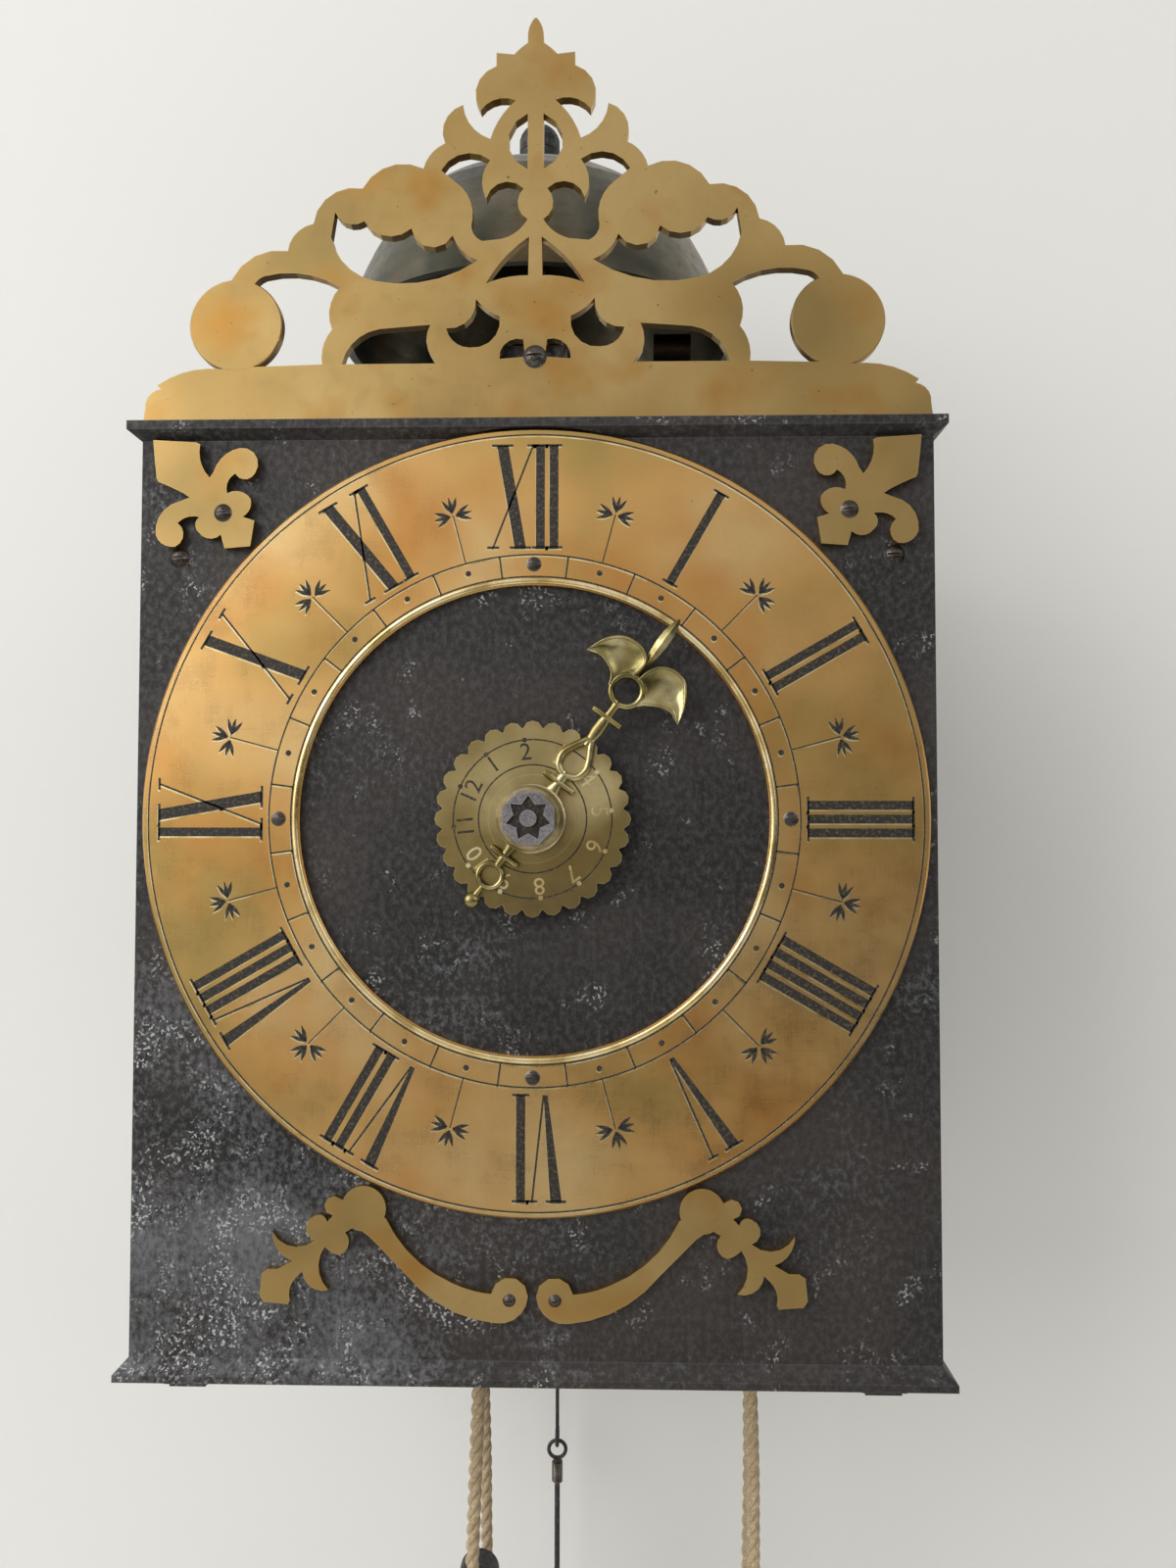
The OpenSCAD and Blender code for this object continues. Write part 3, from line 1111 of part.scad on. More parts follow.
// Iron strap over and under the pulley, its riveted axle and the hook below
module weight_strap() at_wall() color(iron) {
  slab(block[1] + 4, 8) translate([block[0], block[2]]) difference() {
    strap2d(strap_half, block_rope_r + 3);
    strap2d(strap_half - strap_t, block_rope_r + 3);
  }
  translate([block[0] - strap_half - 0.8, block[1], block[2]]) rotate([0, 90, 0])
    cylinder(r = axle_r, h = 2*strap_half + 1.6);
  upright(block[0], block[1], hook_z + hook_r, strap_low + 0.5, hook_bar);
  translate([block[0], block[1], hook_z]) rotate([90, 0, 0]) rotate(-205) rotate_extrude(angle = 295)
    translate([hook_r, 0]) circle(r = hook_bar, $fn = 24);
}

// Lead weight with rounded shoulders and an iron eye
module driving_weight() at_wall() color(lead) {
  translate([block[0], block[1], weight_top - weight_h]) rotate_extrude($fn = 96) polygon(concat(
    [[0, 0], [weight_r - 3, 0]], arc_between([weight_r - 3, 0], [weight_r - 0.9, 0.9], [weight_r, 3], 4),
    [[weight_r, 3], [weight_r, weight_h - 10]],
    arc_between([weight_r, weight_h - 10], [weight_r - 2.5, weight_h - 4], [weight_r - 9, weight_h], 6),
    [[weight_r - 9, weight_h], [0, weight_h]]));
  eye_x(block[0], block[1], weight_top + hook_r, hook_r, hook_bar);
}

module counterweight_ring() at_wall() color(lead)
  eye_y(ring_at[0], ring_at[1], ring_at[2] - ring_weight_r, ring_weight_r, ring_bar_r);

top_plate();
bottom_plate();
corner_pillars();
feet();
front_plate();
back_plate();
left_door();
right_door();
left_door_knob();
right_door_knob();
hanging_plate();
wall_spurs();
chapter_ring();
alarm_disc();
hour_hand();
hand_collet();
hand_nut();
hour_wheel();
fret();
fret_bracket();
upper_corner_ornaments();
lower_scroll_ornaments();
dial_screws();
frame_screws();
bell();
bell_stand();
bell_nut();
front_bar();
middle_bar();
rear_bar();
bar_wedges();
going_great_wheel();
going_pulley();
second_wheel();
escape_wheel();
pallet_arbor();
back_cock();
pendulum_wire();
pendulum_rod();
pendulum_bob();
rating_nut();
strike_great_wheel();
lifting_pins();
strike_pulley();
hoop_wheel();
locking_hoop();
warning_wheel();
fly();
count_wheel();
hammer();
hammer_spring();
detent_lever();
rope_over_going_pulley();
rope_over_strike_pulley();
rope_left_loop();
rope_right_loop();
driving_weight();
weight_pulley();
weight_strap();
counterweight_ring();
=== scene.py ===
import json
import math

import bmesh
import bpy
import numpy as np
from mathutils import Euler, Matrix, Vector


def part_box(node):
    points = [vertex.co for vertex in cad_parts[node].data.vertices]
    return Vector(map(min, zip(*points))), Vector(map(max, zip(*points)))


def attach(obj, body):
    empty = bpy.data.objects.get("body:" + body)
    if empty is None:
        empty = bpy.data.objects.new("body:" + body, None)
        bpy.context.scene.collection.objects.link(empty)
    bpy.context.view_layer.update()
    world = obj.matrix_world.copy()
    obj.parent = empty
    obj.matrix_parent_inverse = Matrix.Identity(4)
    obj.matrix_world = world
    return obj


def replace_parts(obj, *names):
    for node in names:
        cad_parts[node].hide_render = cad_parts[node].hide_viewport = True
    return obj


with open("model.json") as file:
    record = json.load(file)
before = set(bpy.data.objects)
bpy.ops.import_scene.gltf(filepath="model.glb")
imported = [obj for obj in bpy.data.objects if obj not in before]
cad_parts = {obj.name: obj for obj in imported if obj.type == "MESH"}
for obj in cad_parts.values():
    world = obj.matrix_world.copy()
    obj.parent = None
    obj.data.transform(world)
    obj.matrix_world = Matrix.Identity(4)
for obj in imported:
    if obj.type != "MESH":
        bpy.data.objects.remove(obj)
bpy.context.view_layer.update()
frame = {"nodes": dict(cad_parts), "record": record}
nodes = frame["nodes"]
scene = bpy.context.scene
print("frame loaded:", len(nodes), "nodes")

# The part is drawn in millimetres from the dial's centre: x right, y to the wall, z up.
# The row's origin is the hanging hole on the wall, so this is where the dial's centre lies in it.
dialOrigin = np.array([0.0, -178.0, -120.5])


# Moves points from the dial's millimetres to the row's metres.
def inRow(points):
    return (np.asarray(points, float) + dialOrigin) / 1000


camera = {
    "place": (21.0, -293.5, -2.4),  # mm from the dial's centre
    "yaw": -1.46,  # degrees to the right
    "pitch": 2.17,  # degrees up
    "roll": -0.05,
    "lens": 27.045,  # mm on a 36 mm high frame of 1200 x 1600
}
cameraData = bpy.data.cameras.new("photoView")
cameraData.sensor_fit = "VERTICAL"
cameraData.sensor_height = 36.0
cameraData.lens = camera["lens"]
cameraData.clip_start = 0.01
cameraData.clip_end = 50.0
photoView = bpy.data.objects.new("photoView", cameraData)
photoView.location = inRow([camera["place"]])[0]
photoView.rotation_euler = Euler(
    (math.radians(90 + camera["pitch"]), math.radians(camera["roll"]), math.radians(-camera["yaw"])), "XYZ")
scene.collection.objects.link(photoView)
scene.camera = photoView
print("camera placed")


# One closed mesh in row metres, riding on a CAD body.
def makePiece(name, verts, faces, body, material, smooth=True):
    mesh = bpy.data.meshes.new(name)
    mesh.from_pydata(np.asarray(verts, float).tolist(), [], [tuple(f) for f in faces])
    mesh.validate()
    mesh.polygons.foreach_set("use_smooth", np.full(len(mesh.polygons), smooth))
    if smooth:
        mesh.set_sharp_from_angle(angle=math.radians(38))
    mesh.materials.append(material)
    mesh.update()
    piece = bpy.data.objects.new(name, mesh)
    scene.collection.objects.link(piece)
    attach(piece, body)
    return piece


# Several (points, faces) as one.
def join(parts):
    points, faces, start = [], [], 0
    for p, f in parts:
        points.append(p)
        faces += [tuple(np.array(q) + start) for q in f]
        start += len(p)
    return np.concatenate(points), faces


# Four-sided faces of a grid of points kept row after row.
def gridFaces(rows, columns, wrapRows=False, wrapColumns=False):
    i, k = np.meshgrid(np.arange(rows - (not wrapRows)), np.arange(columns - (not wrapColumns)),
                       indexing="ij")
    a = i * columns + k
    b = i * columns + (k + 1) % columns
    c = ((i + 1) % rows) * columns + (k + 1) % columns
    d = ((i + 1) % rows) * columns + k
    return np.stack([a, b, c, d], -1).reshape(-1, 4).tolist()


# Points a step apart on the smooth curve through the given ones: each span is the cubic whose end
# slopes are half the chord between the neighbours.
def alongCurve(points, step, closed=False):
    p = np.asarray(points, float)
    if closed:
        p = np.concatenate([p[-1:], p, p[:2]])
    else:
        p = np.concatenate([2 * p[:1] - p[1:2], p, 2 * p[-1:] - p[-2:-1]])
    t = np.linspace(0, 1, 24, endpoint=False)[None, :, None]
    a, b, c, d = (p[k:len(p) - 3 + k][:, None, :] for k in range(4))
    fine = 0.5 * (2 * b + (c - a) * t + (2 * a - 5 * b + 4 * c - d) * t ** 2
                  + (3 * b - a - 3 * c + d) * t ** 3)
    fine = np.concatenate([fine.reshape(-1, p.shape[1]), p[-2:-1]])
    run = np.concatenate([[0], np.cumsum(np.linalg.norm(np.diff(fine, axis=0), axis=1))])
    count = max(3, int(round(run[-1] / step)) + 1)
    at = np.linspace(0, run[-1], count)
    return np.stack([np.interp(at, run, fine[:, k]) for k in range(p.shape[1])], 1)


# Tangent, and two cross directions that turn as little as they can along the path.
def frames(path, closed=False, start=(0.0, 1.0, 0.0)):
    ahead = np.roll(path, -1, 0) - np.roll(path, 1, 0)
    if not closed:
        ahead[0], ahead[-1] = path[1] - path[0], path[-1] - path[-2]
    t = ahead / np.linalg.norm(ahead, axis=1)[:, None]
    u = np.zeros_like(t)
    last = np.asarray(start, float)
    for k in range(len(t)):
        last = last - t[k] * (last @ t[k])
        last = last / np.linalg.norm(last)
        u[k] = last
    return t, u, np.cross(t, u)


# A section carried along a path: point = path + a*u + b*v. The section is (rings, sides, 2).
def sweep(path, section, closed=False, start=(0.0, 1.0, 0.0)):
    t, u, v = frames(path, closed, start)
    s = np.broadcast_to(section, (len(path),) + np.shape(section)[-2:])
    points = path[:, None, :] + s[..., :1] * u[:, None, :] + s[..., 1:] * v[:, None, :]
    rings, sides = s.shape[:2]
    faces = [f[::-1] for f in gridFaces(rings, sides, closed, True)]
    if not closed:
        faces += [tuple(range(sides)), tuple(range(rings * sides - 1, (rings - 1) * sides - 1, -1))]
    return points.reshape(-1, 3), faces


# Ellipses with half axes a and b, one per ring.
def roundSection(a, b, sides=16):
    angle = np.linspace(0, 2 * math.pi, sides, endpoint=False)
    a, b = np.atleast_1d(a)[:, None], np.atleast_1d(b)[:, None]
    return np.stack([a * np.cos(angle), b * np.sin(angle)], -1)


# Faces point outwards: the sum of the signed volumes under them, seen from the middle, decides.
def turnOut(points, faces):
    points = np.asarray(points, float)
    p = points - points.mean(0)
    volume = 0.0
    for size in {len(f) for f in faces}:
        f = np.array([q for q in faces if len(q) == size])
        for k in range(1, size - 1):
            volume += np.einsum("ij,ij->i", p[f[:, 0]], np.cross(p[f[:, k]], p[f[:, k + 1]])).sum()
    return points, (faces if volume > 0 else [q[::-1] for q in faces])


# A profile of (radius, height) turned about an upright or level axis; its ends lie on the axis.
def revolve(profile, centre, sides, axis="z"):
    p = np.asarray(profile, float)
    angle = np.linspace(0, 2 * math.pi, sides, endpoint=False)
    r, h = p[:, :1], p[:, 1:] + 0 * angle
    x, y = r * np.cos(angle), r * np.sin(angle)
    points = np.stack([x, y, h] if axis == "z" else [x, -h, y], -1) + np.asarray(centre, float)
    return points.reshape(-1, 3), gridFaces(len(p), sides, False, True)


# An sRGB hex colour as the linear numbers that the shader works in.
def linear(code):
    c = np.array([int(code[k:k + 2], 16) for k in (1, 3, 5)]) / 255
    return tuple(np.where(c <= 0.04045, c / 12.92, ((c + 0.055) / 1.055) ** 2.4)) + (1.0,)


# Pattern scale that gives features of that many millimetres on Object coordinates.
def mm(size):
    return 1000.0 / size


# Adds a node; links maps an input to a constant or to another node's output.
def addNode(tree, kind, links=None, **settings):
    node = tree.nodes.new(kind)
    for key, value in settings.items():
        setattr(node, key, value)
    for key, value in (links or {}).items():
        if isinstance(value, bpy.types.NodeSocket):
            tree.links.new(value, node.inputs[key])
        else:
            node.inputs[key].default_value = value
    return node


# Colour ramp through (place, hex) stops.
def ramp(tree, source, stops):
    node = addNode(tree, "ShaderNodeValToRGB", {"Fac": source})
    line = node.color_ramp
    for k, (place, code) in enumerate(stops):
        stop = line.elements[k] if k < 2 else line.elements.new(place)
        stop.position = place
        stop.color = linear(code)
    return node.outputs["Color"]


# A new material: its nodes, its shader and the piece's own coordinates.
def startMaterial(name):
    material = bpy.data.materials.new(name)
    material.use_nodes = True
    tree = material.node_tree
    tree.nodes.clear()
    shader = addNode(tree, "ShaderNodeBsdfPrincipled")
    addNode(tree, "ShaderNodeOutputMaterial", {"Surface": shader.outputs["BSDF"]})
    place = addNode(tree, "ShaderNodeTexCoord").outputs["Object"]
    return material, tree, shader, place


# Cloudy pattern whose features measure about that many millimetres.
def noise(tree, place, size, detail=3.0, rough=0.55, stretch=None, shift=0.0):
    if stretch or shift:
        place = addNode(tree, "ShaderNodeMapping", {
            "Vector": place, "Location": (shift, shift, shift), "Scale": stretch or (1, 1, 1)}).outputs[0]
    return addNode(tree, "ShaderNodeTexNoise", {
        "Vector": place, "Scale": mm(size), "Detail": detail, "Roughness": rough}).outputs["Fac"]


# Two colours mixed by a factor; each may be a constant or another node's output.
def blendColours(tree, factor, first, second):
    return addNode(tree, "ShaderNodeMix", {0: factor, 6: first, 7: second}, data_type="RGBA").outputs[2]


# Stretches the part of a value between low and high over another range.
def between(tree, source, low, high, toLow=0.0, toHigh=1.0):
    return addNode(tree, "ShaderNodeMapRange", {
        "Value": source, "From Min": low, "From Max": high, "To Min": toLow, "To Max": toHigh}).outputs[0]


# Relief of that depth in millimetres.
def bump(tree, height, strength, depth, under=None):
    links = {"Height": height, "Strength": strength, "Distance": depth / 1000}
    if under is not None:
        links["Normal"] = under
    return addNode(tree, "ShaderNodeBump", links).outputs[0]


# A sum, difference, product or the greater of two values.
def maths(tree, how, first, second):
    return addNode(tree, "ShaderNodeMath", {0: first, 1: second}, operation=how).outputs[0]


# Each finish is one dictionary of hex colours and sizes in mm, and one function that lays it.
ironLooks = {
    "black_iron": {  # wrought iron, hammered flat and blackened: matte, flaky, with bare pale specks
        "dark": "#1c1b1b", "warm": "#352e2b", "grey": "#464444", "bare": "#74767a", "speck": "#b4b5b6",
        "dents": 17.0, "dentDepth": 0.30, "flake": 1.5, "flakeDepth": 0.14, "stretch": (1.0, 1.0, 0.8),
        "metal": 0.35, "rough": (0.42, 0.64), "bareFrom": 0.62, "speckFrom": 0.57, "edge": 0.3},
    "polished_iron": {  # filed bright, then dulled by handling: grey with fine lines
        "dark": "#5d5a56", "warm": "#6d6154", "grey": "#827f7b", "bare": "#a09d98", "speck": "#c3c0bb",
        "dents": 14.0, "dentDepth": 0.04, "flake": 0.8, "flakeDepth": 0.02, "stretch": (1.0, 1.0, 0.3),
        "metal": 1.0, "rough": (0.26, 0.44), "bareFrom": 0.58, "speckFrom": 0.66, "edge": 0.4},
    "steel": {  # turned screws and nuts gone brown: dark, with a dull shine
        "dark": "#34312e", "warm": "#50443a", "grey": "#5d5954", "bare": "#827e78", "speck": "#98948d",
        "dents": 3.0, "dentDepth": 0.03, "flake": 0.5, "flakeDepth": 0.02, "stretch": (1.0, 1.0, 1.0),
        "metal": 1.0, "rough": (0.30, 0.50), "bareFrom": 0.58, "speckFrom": 0.64, "edge": 0.5},
    "bright_steel": {  # the hand's nut, bare and scuffed by spanners: pale, a little blue
        "dark": "#6f6b70", "warm": "#8a827f", "grey": "#a19da2", "bare": "#bcb8bd", "speck": "#55504e",
        "dents": 2.5, "dentDepth": 0.05, "flake": 0.5, "flakeDepth": 0.03, "stretch": (1.0, 1.0, 1.0),
        "metal": 1.0, "rough": (0.30, 0.48), "bareFrom": 0.55, "speckFrom": 0.62, "edge": 0.5},
}
brassLooks = {
    "dial_brass": {  # sheet brass, scraped and rubbed: soft orange clouds, few pits, fine scratches
        "olive": "#b89a5c", "base": "#dcae6c", "pale": "#e6c48a", "stain": "#cf9250", "spot": "#6b5230",
        "clouds": 60.0, "stains": 34.0, "spots": 1.5, "scratch": 0.5, "waveSize": 24.0, "waveDepth": 0.05,
        "rough": (0.24, 0.38), "stainFrom": 0.52, "spotFrom": 0.765, "edge": 0.5},
    "cast_brass": {  # thick plate filed smooth, dulled evenly: satin, with a few brown patches
        "olive": "#9b8353", "base": "#b0925c", "pale": "#bfa26c", "stain": "#ae8040", "spot": "#5c482c",
        "clouds": 48.0, "stains": 18.0, "spots": 1.4, "scratch": 0.5, "waveSize": 16.0, "waveDepth": 0.04,
        "rough": (0.30, 0.44), "stainFrom": 0.57, "spotFrom": 0.70, "edge": 0.6},
    "alarm_brass": {  # the alarm disc, brown with old lacquer but for the part that fingers turn
        "olive": "#85734a", "base": "#978352", "pale": "#d2bf8c", "stain": "#8c7042", "spot": "#4c4226",
        "clouds": 34.0, "stains": 14.0, "spots": 1.0, "scratch": 0.5, "waveSize": 9.0, "waveDepth": 0.05,
        "rough": (0.26, 0.42), "stainFrom": 0.60, "spotFrom": 0.72, "edge": 0.6},
    "wheel_brass": {  # cut wheels under a film of old oil: brown in the corners
        "olive": "#75602f", "base": "#a37e41", "pale": "#b9944f", "stain": "#7d5829", "spot": "#453521",
        "clouds": 12.0, "stains": 5.0, "spots": 0.9, "scratch": 0.4, "waveSize": 8.0, "waveDepth": 0.02,
        "rough": (0.28, 0.46), "stainFrom": 0.55, "spotFrom": 0.66, "edge": 0.4},
    "hand_brass": {  # cast and filed brass, handled smooth: yellow-olive with pale edges, partly real wear and partly painted highlight
        "olive": "#746a42", "base": "#978a5a", "pale": "#c4b88c", "stain": "#857048", "spot": "#4c4226",
        "clouds": 9.0, "stains": 5.0, "spots": 0.9, "scratch": 0.4, "waveSize": 5.0, "waveDepth": 0.03,
        "rough": (0.22, 0.36), "stainFrom": 0.60, "spotFrom": 0.70, "edge": 0.6},
    "pale_brass": {  # the collet, rubbed nearly white by fingers
        "olive": "#8f8058", "base": "#b5a67d", "pale": "#d3c8a6", "stain": "#8e744a", "spot": "#4c4226",
        "clouds": 6.0, "stains": 3.0, "spots": 0.9, "scratch": 0.4, "waveSize": 5.0, "waveDepth": 0.03,
        "rough": (0.30, 0.46), "stainFrom": 0.60, "spotFrom": 0.68, "edge": 0.5},
    "bright_cut_and_highlight": {  # fresh cuts in brass that hold no wax, and the painted highlight on the lit side of the dial's cuts: pale and shiny
        "olive": "#c4ab72", "base": "#ecd398", "pale": "#fbecc0", "stain": "#c09a5c", "spot": "#6b5730",
        "clouds": 9.0, "stains": 4.0, "spots": 1.0, "scratch": 0.4, "waveSize": 5.0, "waveDepth": 0.02,
        "rough": (0.2, 0.35), "stainFrom": 0.62, "spotFrom": 0.7, "edge": 0.0},
    "bell_metal": {  # cast and turned bell bronze: grey-green skin with a satin shine
        "olive": "#47463c", "base": "#5d594c", "pale": "#777060", "stain": "#64543b", "spot": "#35322a",
        "clouds": 24.0, "stains": 9.0, "spots": 1.2, "scratch": 0.5, "waveSize": 18.0, "waveDepth": 0.03,
        "rough": (0.30, 0.46), "stainFrom": 0.60, "spotFrom": 0.68, "edge": 0.5},
    "lead": {  # cast lead: grey, dull, soft marks all over
        "olive": "#57595a", "base": "#6c6e70", "pale": "#85878a", "stain": "#5f5c57", "spot": "#434546",
        "clouds": 18.0, "stains": 7.0, "spots": 1.5, "scratch": 0.9, "waveSize": 9.0, "waveDepth": 0.25,
        "rough": (0.45, 0.62), "stainFrom": 0.56, "spotFrom": 0.66, "edge": 0.3},
}


# How far the surface's direction turns from the same edge rounded over, from 0 to 1. It masks the pale
# edges, which are partly real wear and partly painted highlight.
def wornEdge(tree, width):
    rounded = addNode(tree, "ShaderNodeBevel", {"Radius": width / 1000}, samples=6).outputs[0]
    flat = addNode(tree, "ShaderNodeNewGeometry").outputs["Normal"]
    alike = addNode(tree, "ShaderNodeVectorMath", {0: rounded, 1: flat}, operation="DOT_PRODUCT")
    return between(tree, alike.outputs["Value"], 0.995, 0.86)


# The iron is paler towards the plate's lower left corner, partly real rubbing and partly painted light
# falling from the left: place and reach in mm from the dial's centre.
wearAndLightCorner = {"at": (-88.0, -4.0, -122.0), "reach": 130.0, "more": 0.17}


# Dark skin with warm clouds and fine flakes. Bare patches and clustered specks grow towards the lower left
# corner, partly real wear and partly painted light, and edges are pale, partly real wear and partly painted
# highlight.
def layIron(name, look):
    material, tree, shader, place = startMaterial(name)
    clouds = noise(tree, place, 46.0, 3.0, 0.55)
    patches = noise(tree, place, 38.0, 6.0, 0.62, shift=7.7)
    flakes = noise(tree, place, look["flake"], 6.0, 0.68, stretch=look["stretch"], shift=3.1)
    skin = blendColours(tree, between(tree, clouds, 0.40, 0.62), linear(look["dark"]), linear(look["warm"]))
    skin = blendColours(tree, between(tree, flakes, 0.44, 0.62, 0.0, 0.75), skin, linear(look["grey"]))
    rubbedAndLit = maths(tree, "MULTIPLY", maths(tree, "ADD", patches, flakes), 0.5)
    # Painted light in part: the rub grows towards the lower left corner, standing for real wear there and
    # for light falling from the left.
    wearAndLight = addNode(tree, "ShaderNodeVectorMath", {0: place, 1: tuple(inRow([wearAndLightCorner["at"]])[0])},
                   operation="DISTANCE").outputs["Value"]
    wearAndLight = between(tree, wearAndLight, wearAndLightCorner["reach"] / 1000, 0.0, 0.0, wearAndLightCorner["more"])
    rubbedAndLit = maths(tree, "ADD", rubbedAndLit, wearAndLight)
    bare = between(tree, rubbedAndLit, look["bareFrom"] - 0.06, look["bareFrom"] + 0.11, 0.0, 0.72)
    skin = blendColours(tree, bare, skin, linear(look["bare"]))
    grit = noise(tree, place, look["flake"] * 0.55, 2.0, 0.5, shift=1.9)
    crowded = maths(tree, "ADD", noise(tree, place, 11.0, 4.0, 0.6, shift=9.2), wearAndLight)
    crowd = between(tree, crowded, 0.58, 0.74)
    specks = between(tree, grit, look["speckFrom"], look["speckFrom"] + 0.05)
    skin = blendColours(tree, maths(tree, "MULTIPLY", specks, crowd), skin, linear(look["speck"]))
    # Pale edges: partly real wear, partly painted highlight.
    skin = blendColours(tree, maths(tree, "MULTIPLY", wornEdge(tree, 0.5), look["edge"]), skin,
                        linear(look["bare"]))
    tree.links.new(skin, shader.inputs["Base Color"])
    shader.inputs["Metallic"].default_value = look["metal"]
    tree.links.new(between(tree, flakes, 0.35, 0.68, look["rough"][1], look["rough"][0]),
                   shader.inputs["Roughness"])
    dents = bump(tree, noise(tree, place, look["dents"], 2.0, 0.5, shift=5.3), 0.8, look["dentDepth"])
    tree.links.new(bump(tree, flakes, 0.8, look["flakeDepth"], dents), shader.inputs["Normal"])
    return material


# Three tones by soft clouds, stains and spots where finer noises peak, scratches both ways, and pale edges
# that are partly real wear and partly painted highlight.
def layBrass(name, look):
    material, tree, shader, place = startMaterial(name)
    clouds = noise(tree, place, look["clouds"], 2.0, 0.5)
    skin = ramp(tree, clouds, [(0.36, look["olive"]), (0.66, look["pale"]), (0.48, look["base"])])
    stains = noise(tree, place, look["stains"], 2.5, 0.5, shift=4.7)
    stained = between(tree, stains, look["stainFrom"] - 0.04, look["stainFrom"] + 0.18, 0.0, 0.85)
    skin = blendColours(tree, stained, skin, linear(look["stain"]))
    film = noise(tree, place, look["stains"] * 0.3, 5.0, 0.6, shift=2.9)
    skin = blendColours(tree, between(tree, film, 0.5, 0.75, 0.0, 0.28), skin, linear(look["olive"]))
    spots = noise(tree, place, look["spots"], 3.0, 0.6, shift=8.3)
    spotted = between(tree, spots, look["spotFrom"], look["spotFrom"] + 0.05, 0.0, 0.8)
    skin = blendColours(tree, spotted, skin, linear(look["spot"]))
    # Pale edges: partly real wear, partly painted highlight.
    edge = wornEdge(tree, 0.45)
    skin = blendColours(tree, maths(tree, "MULTIPLY", edge, look["edge"]), skin, linear(look["pale"]))
    tree.links.new(skin, shader.inputs["Base Color"])
    shader.inputs["Metallic"].default_value = 1.0
    along = noise(tree, place, look["scratch"], 2.0, 0.5, stretch=(0.04, 1.0, 1.0))
    across = noise(tree, place, look["scratch"], 2.0, 0.5, stretch=(1.0, 1.0, 0.05), shift=2.2)
    lines = maths(tree, "ADD", along, across)
    uneven = maths(tree, "ADD", maths(tree, "MULTIPLY", film, 0.7), maths(tree, "MULTIPLY", lines, 0.15))
    tree.links.new(between(tree, uneven, 0.38, 0.66, *look["rough"]), shader.inputs["Roughness"])
    waves = bump(tree, noise(tree, place, look["waveSize"], 2.0, 0.45, shift=6.1), 0.9, look["waveDepth"])
    marks = bump(tree, lines, 0.2, 0.01, waves)
    tree.links.new(bump(tree, spots, 0.3, 0.03, marks), shader.inputs["Normal"])
    return material


# Yarn on the rope's own UV map: U runs along the rope in cm, V once round it, so that fibres follow
# the strands and cross them at a slant.
def layHemp(name):
    material, tree, shader, _ = startMaterial(name)
    place = addNode(tree, "ShaderNodeTexCoord").outputs["UV"]
    slant = addNode(tree, "ShaderNodeMapping", {
        "Vector": place, "Rotation": (0, 0, 0.5), "Scale": (9.0, 40.0, 1.0)}).outputs[0]
    yarn = addNode(tree, "ShaderNodeTexNoise", {
        "Vector": slant, "Scale": 1.0, "Detail": 3.0}).outputs["Fac"]
    patches = addNode(tree, "ShaderNodeTexNoise", {
        "Vector": place, "Scale": 1.3, "Detail": 2.0}).outputs["Fac"]
    skin = ramp(tree, yarn, [(0.33, "#8c7556"), (0.68, "#d8c6a4"), (0.5, "#bba583")])
    skin = blendColours(tree, between(tree, patches, 0.45, 0.7, 0.0, 0.45), skin, linear("#a08a68"))
    tree.links.new(skin, shader.inputs["Base Color"])
    shader.inputs["Roughness"].default_value = 0.85
    shader.inputs["Sheen Weight"].default_value = 0.25
    shader.inputs["Sheen Roughness"].default_value = 0.5
    tree.links.new(bump(tree, yarn, 0.8, 0.25), shader.inputs["Normal"])
    return material


# Black wax rubbed into engraved lines: matte, with some brass dust in it.
def layWax(name):
    material, tree, shader, place = startMaterial(name)
    dust = noise(tree, place, 0.8, 3.0, 0.6)
    skin = ramp(tree, dust, [(0.5, "#191714"), (0.78, "#6f5a38")])
    tree.links.new(skin, shader.inputs["Base Color"])
    shader.inputs["Roughness"].default_value = 0.62
    tree.links.new(bump(tree, dust, 0.5, 0.02), shader.inputs["Normal"])
    return material


finishes = {slot: layIron(slot + "_finish", look) for slot, look in ironLooks.items()}
finishes.update({slot: layBrass(slot + "_finish", look) for slot, look in brassLooks.items()})
finishes["hemp_rope"] = layHemp("laid_hemp")
blackWax = layWax("black_wax")
for piece in frame["record"]["subparts"]:
    mesh = nodes[piece["node"]].data
    mesh.materials.clear()
    mesh.materials.append(finishes[piece["material_slot"]])
print("finishes laid:", len(finishes))


# Ropes of three strands. Section: the outermost of three circles set round the middle, so the radius
# at angle a from the nearest strand is d cos a + sqrt(q^2 - d^2 sin^2 a); it turns once in each lay.
rope = {"radius": 2.0, "strandAt": 0.48, "strandSize": 0.52, "lay": 13.0, "step": 0.8, "sides": 30,
        "top": -136.0}
pulleys = {"centre": (20.0, -45.0), "going": 38.0, "striking": 45.5, "goingY": 45.0, "strikingY": 110.0}
leftRoute = [
    (-18, 45, -136), (-18, 45, -142), (-18.5, 46, -160), (-19.5, 47.5, -185), (-20.5, 49, -210),
    (-21.5, 50.5, -235), (-22, 51, -250), (-22, 51, -262), (-22, 52.5, -271), (-22, 57, -279),
    (-22, 64, -285), (-22, 73, -288), (-22, 82, -288), (-22, 91, -285), (-22, 98, -279),
    (-22, 102.5, -271), (-22, 104, -262), (-22, 104, -250), (-22.5, 104.5, -235), (-23, 106, -210),
    (-24, 107.5, -185), (-25, 109, -160), (-25.5, 110, -142), (-25.5, 110, -136)]
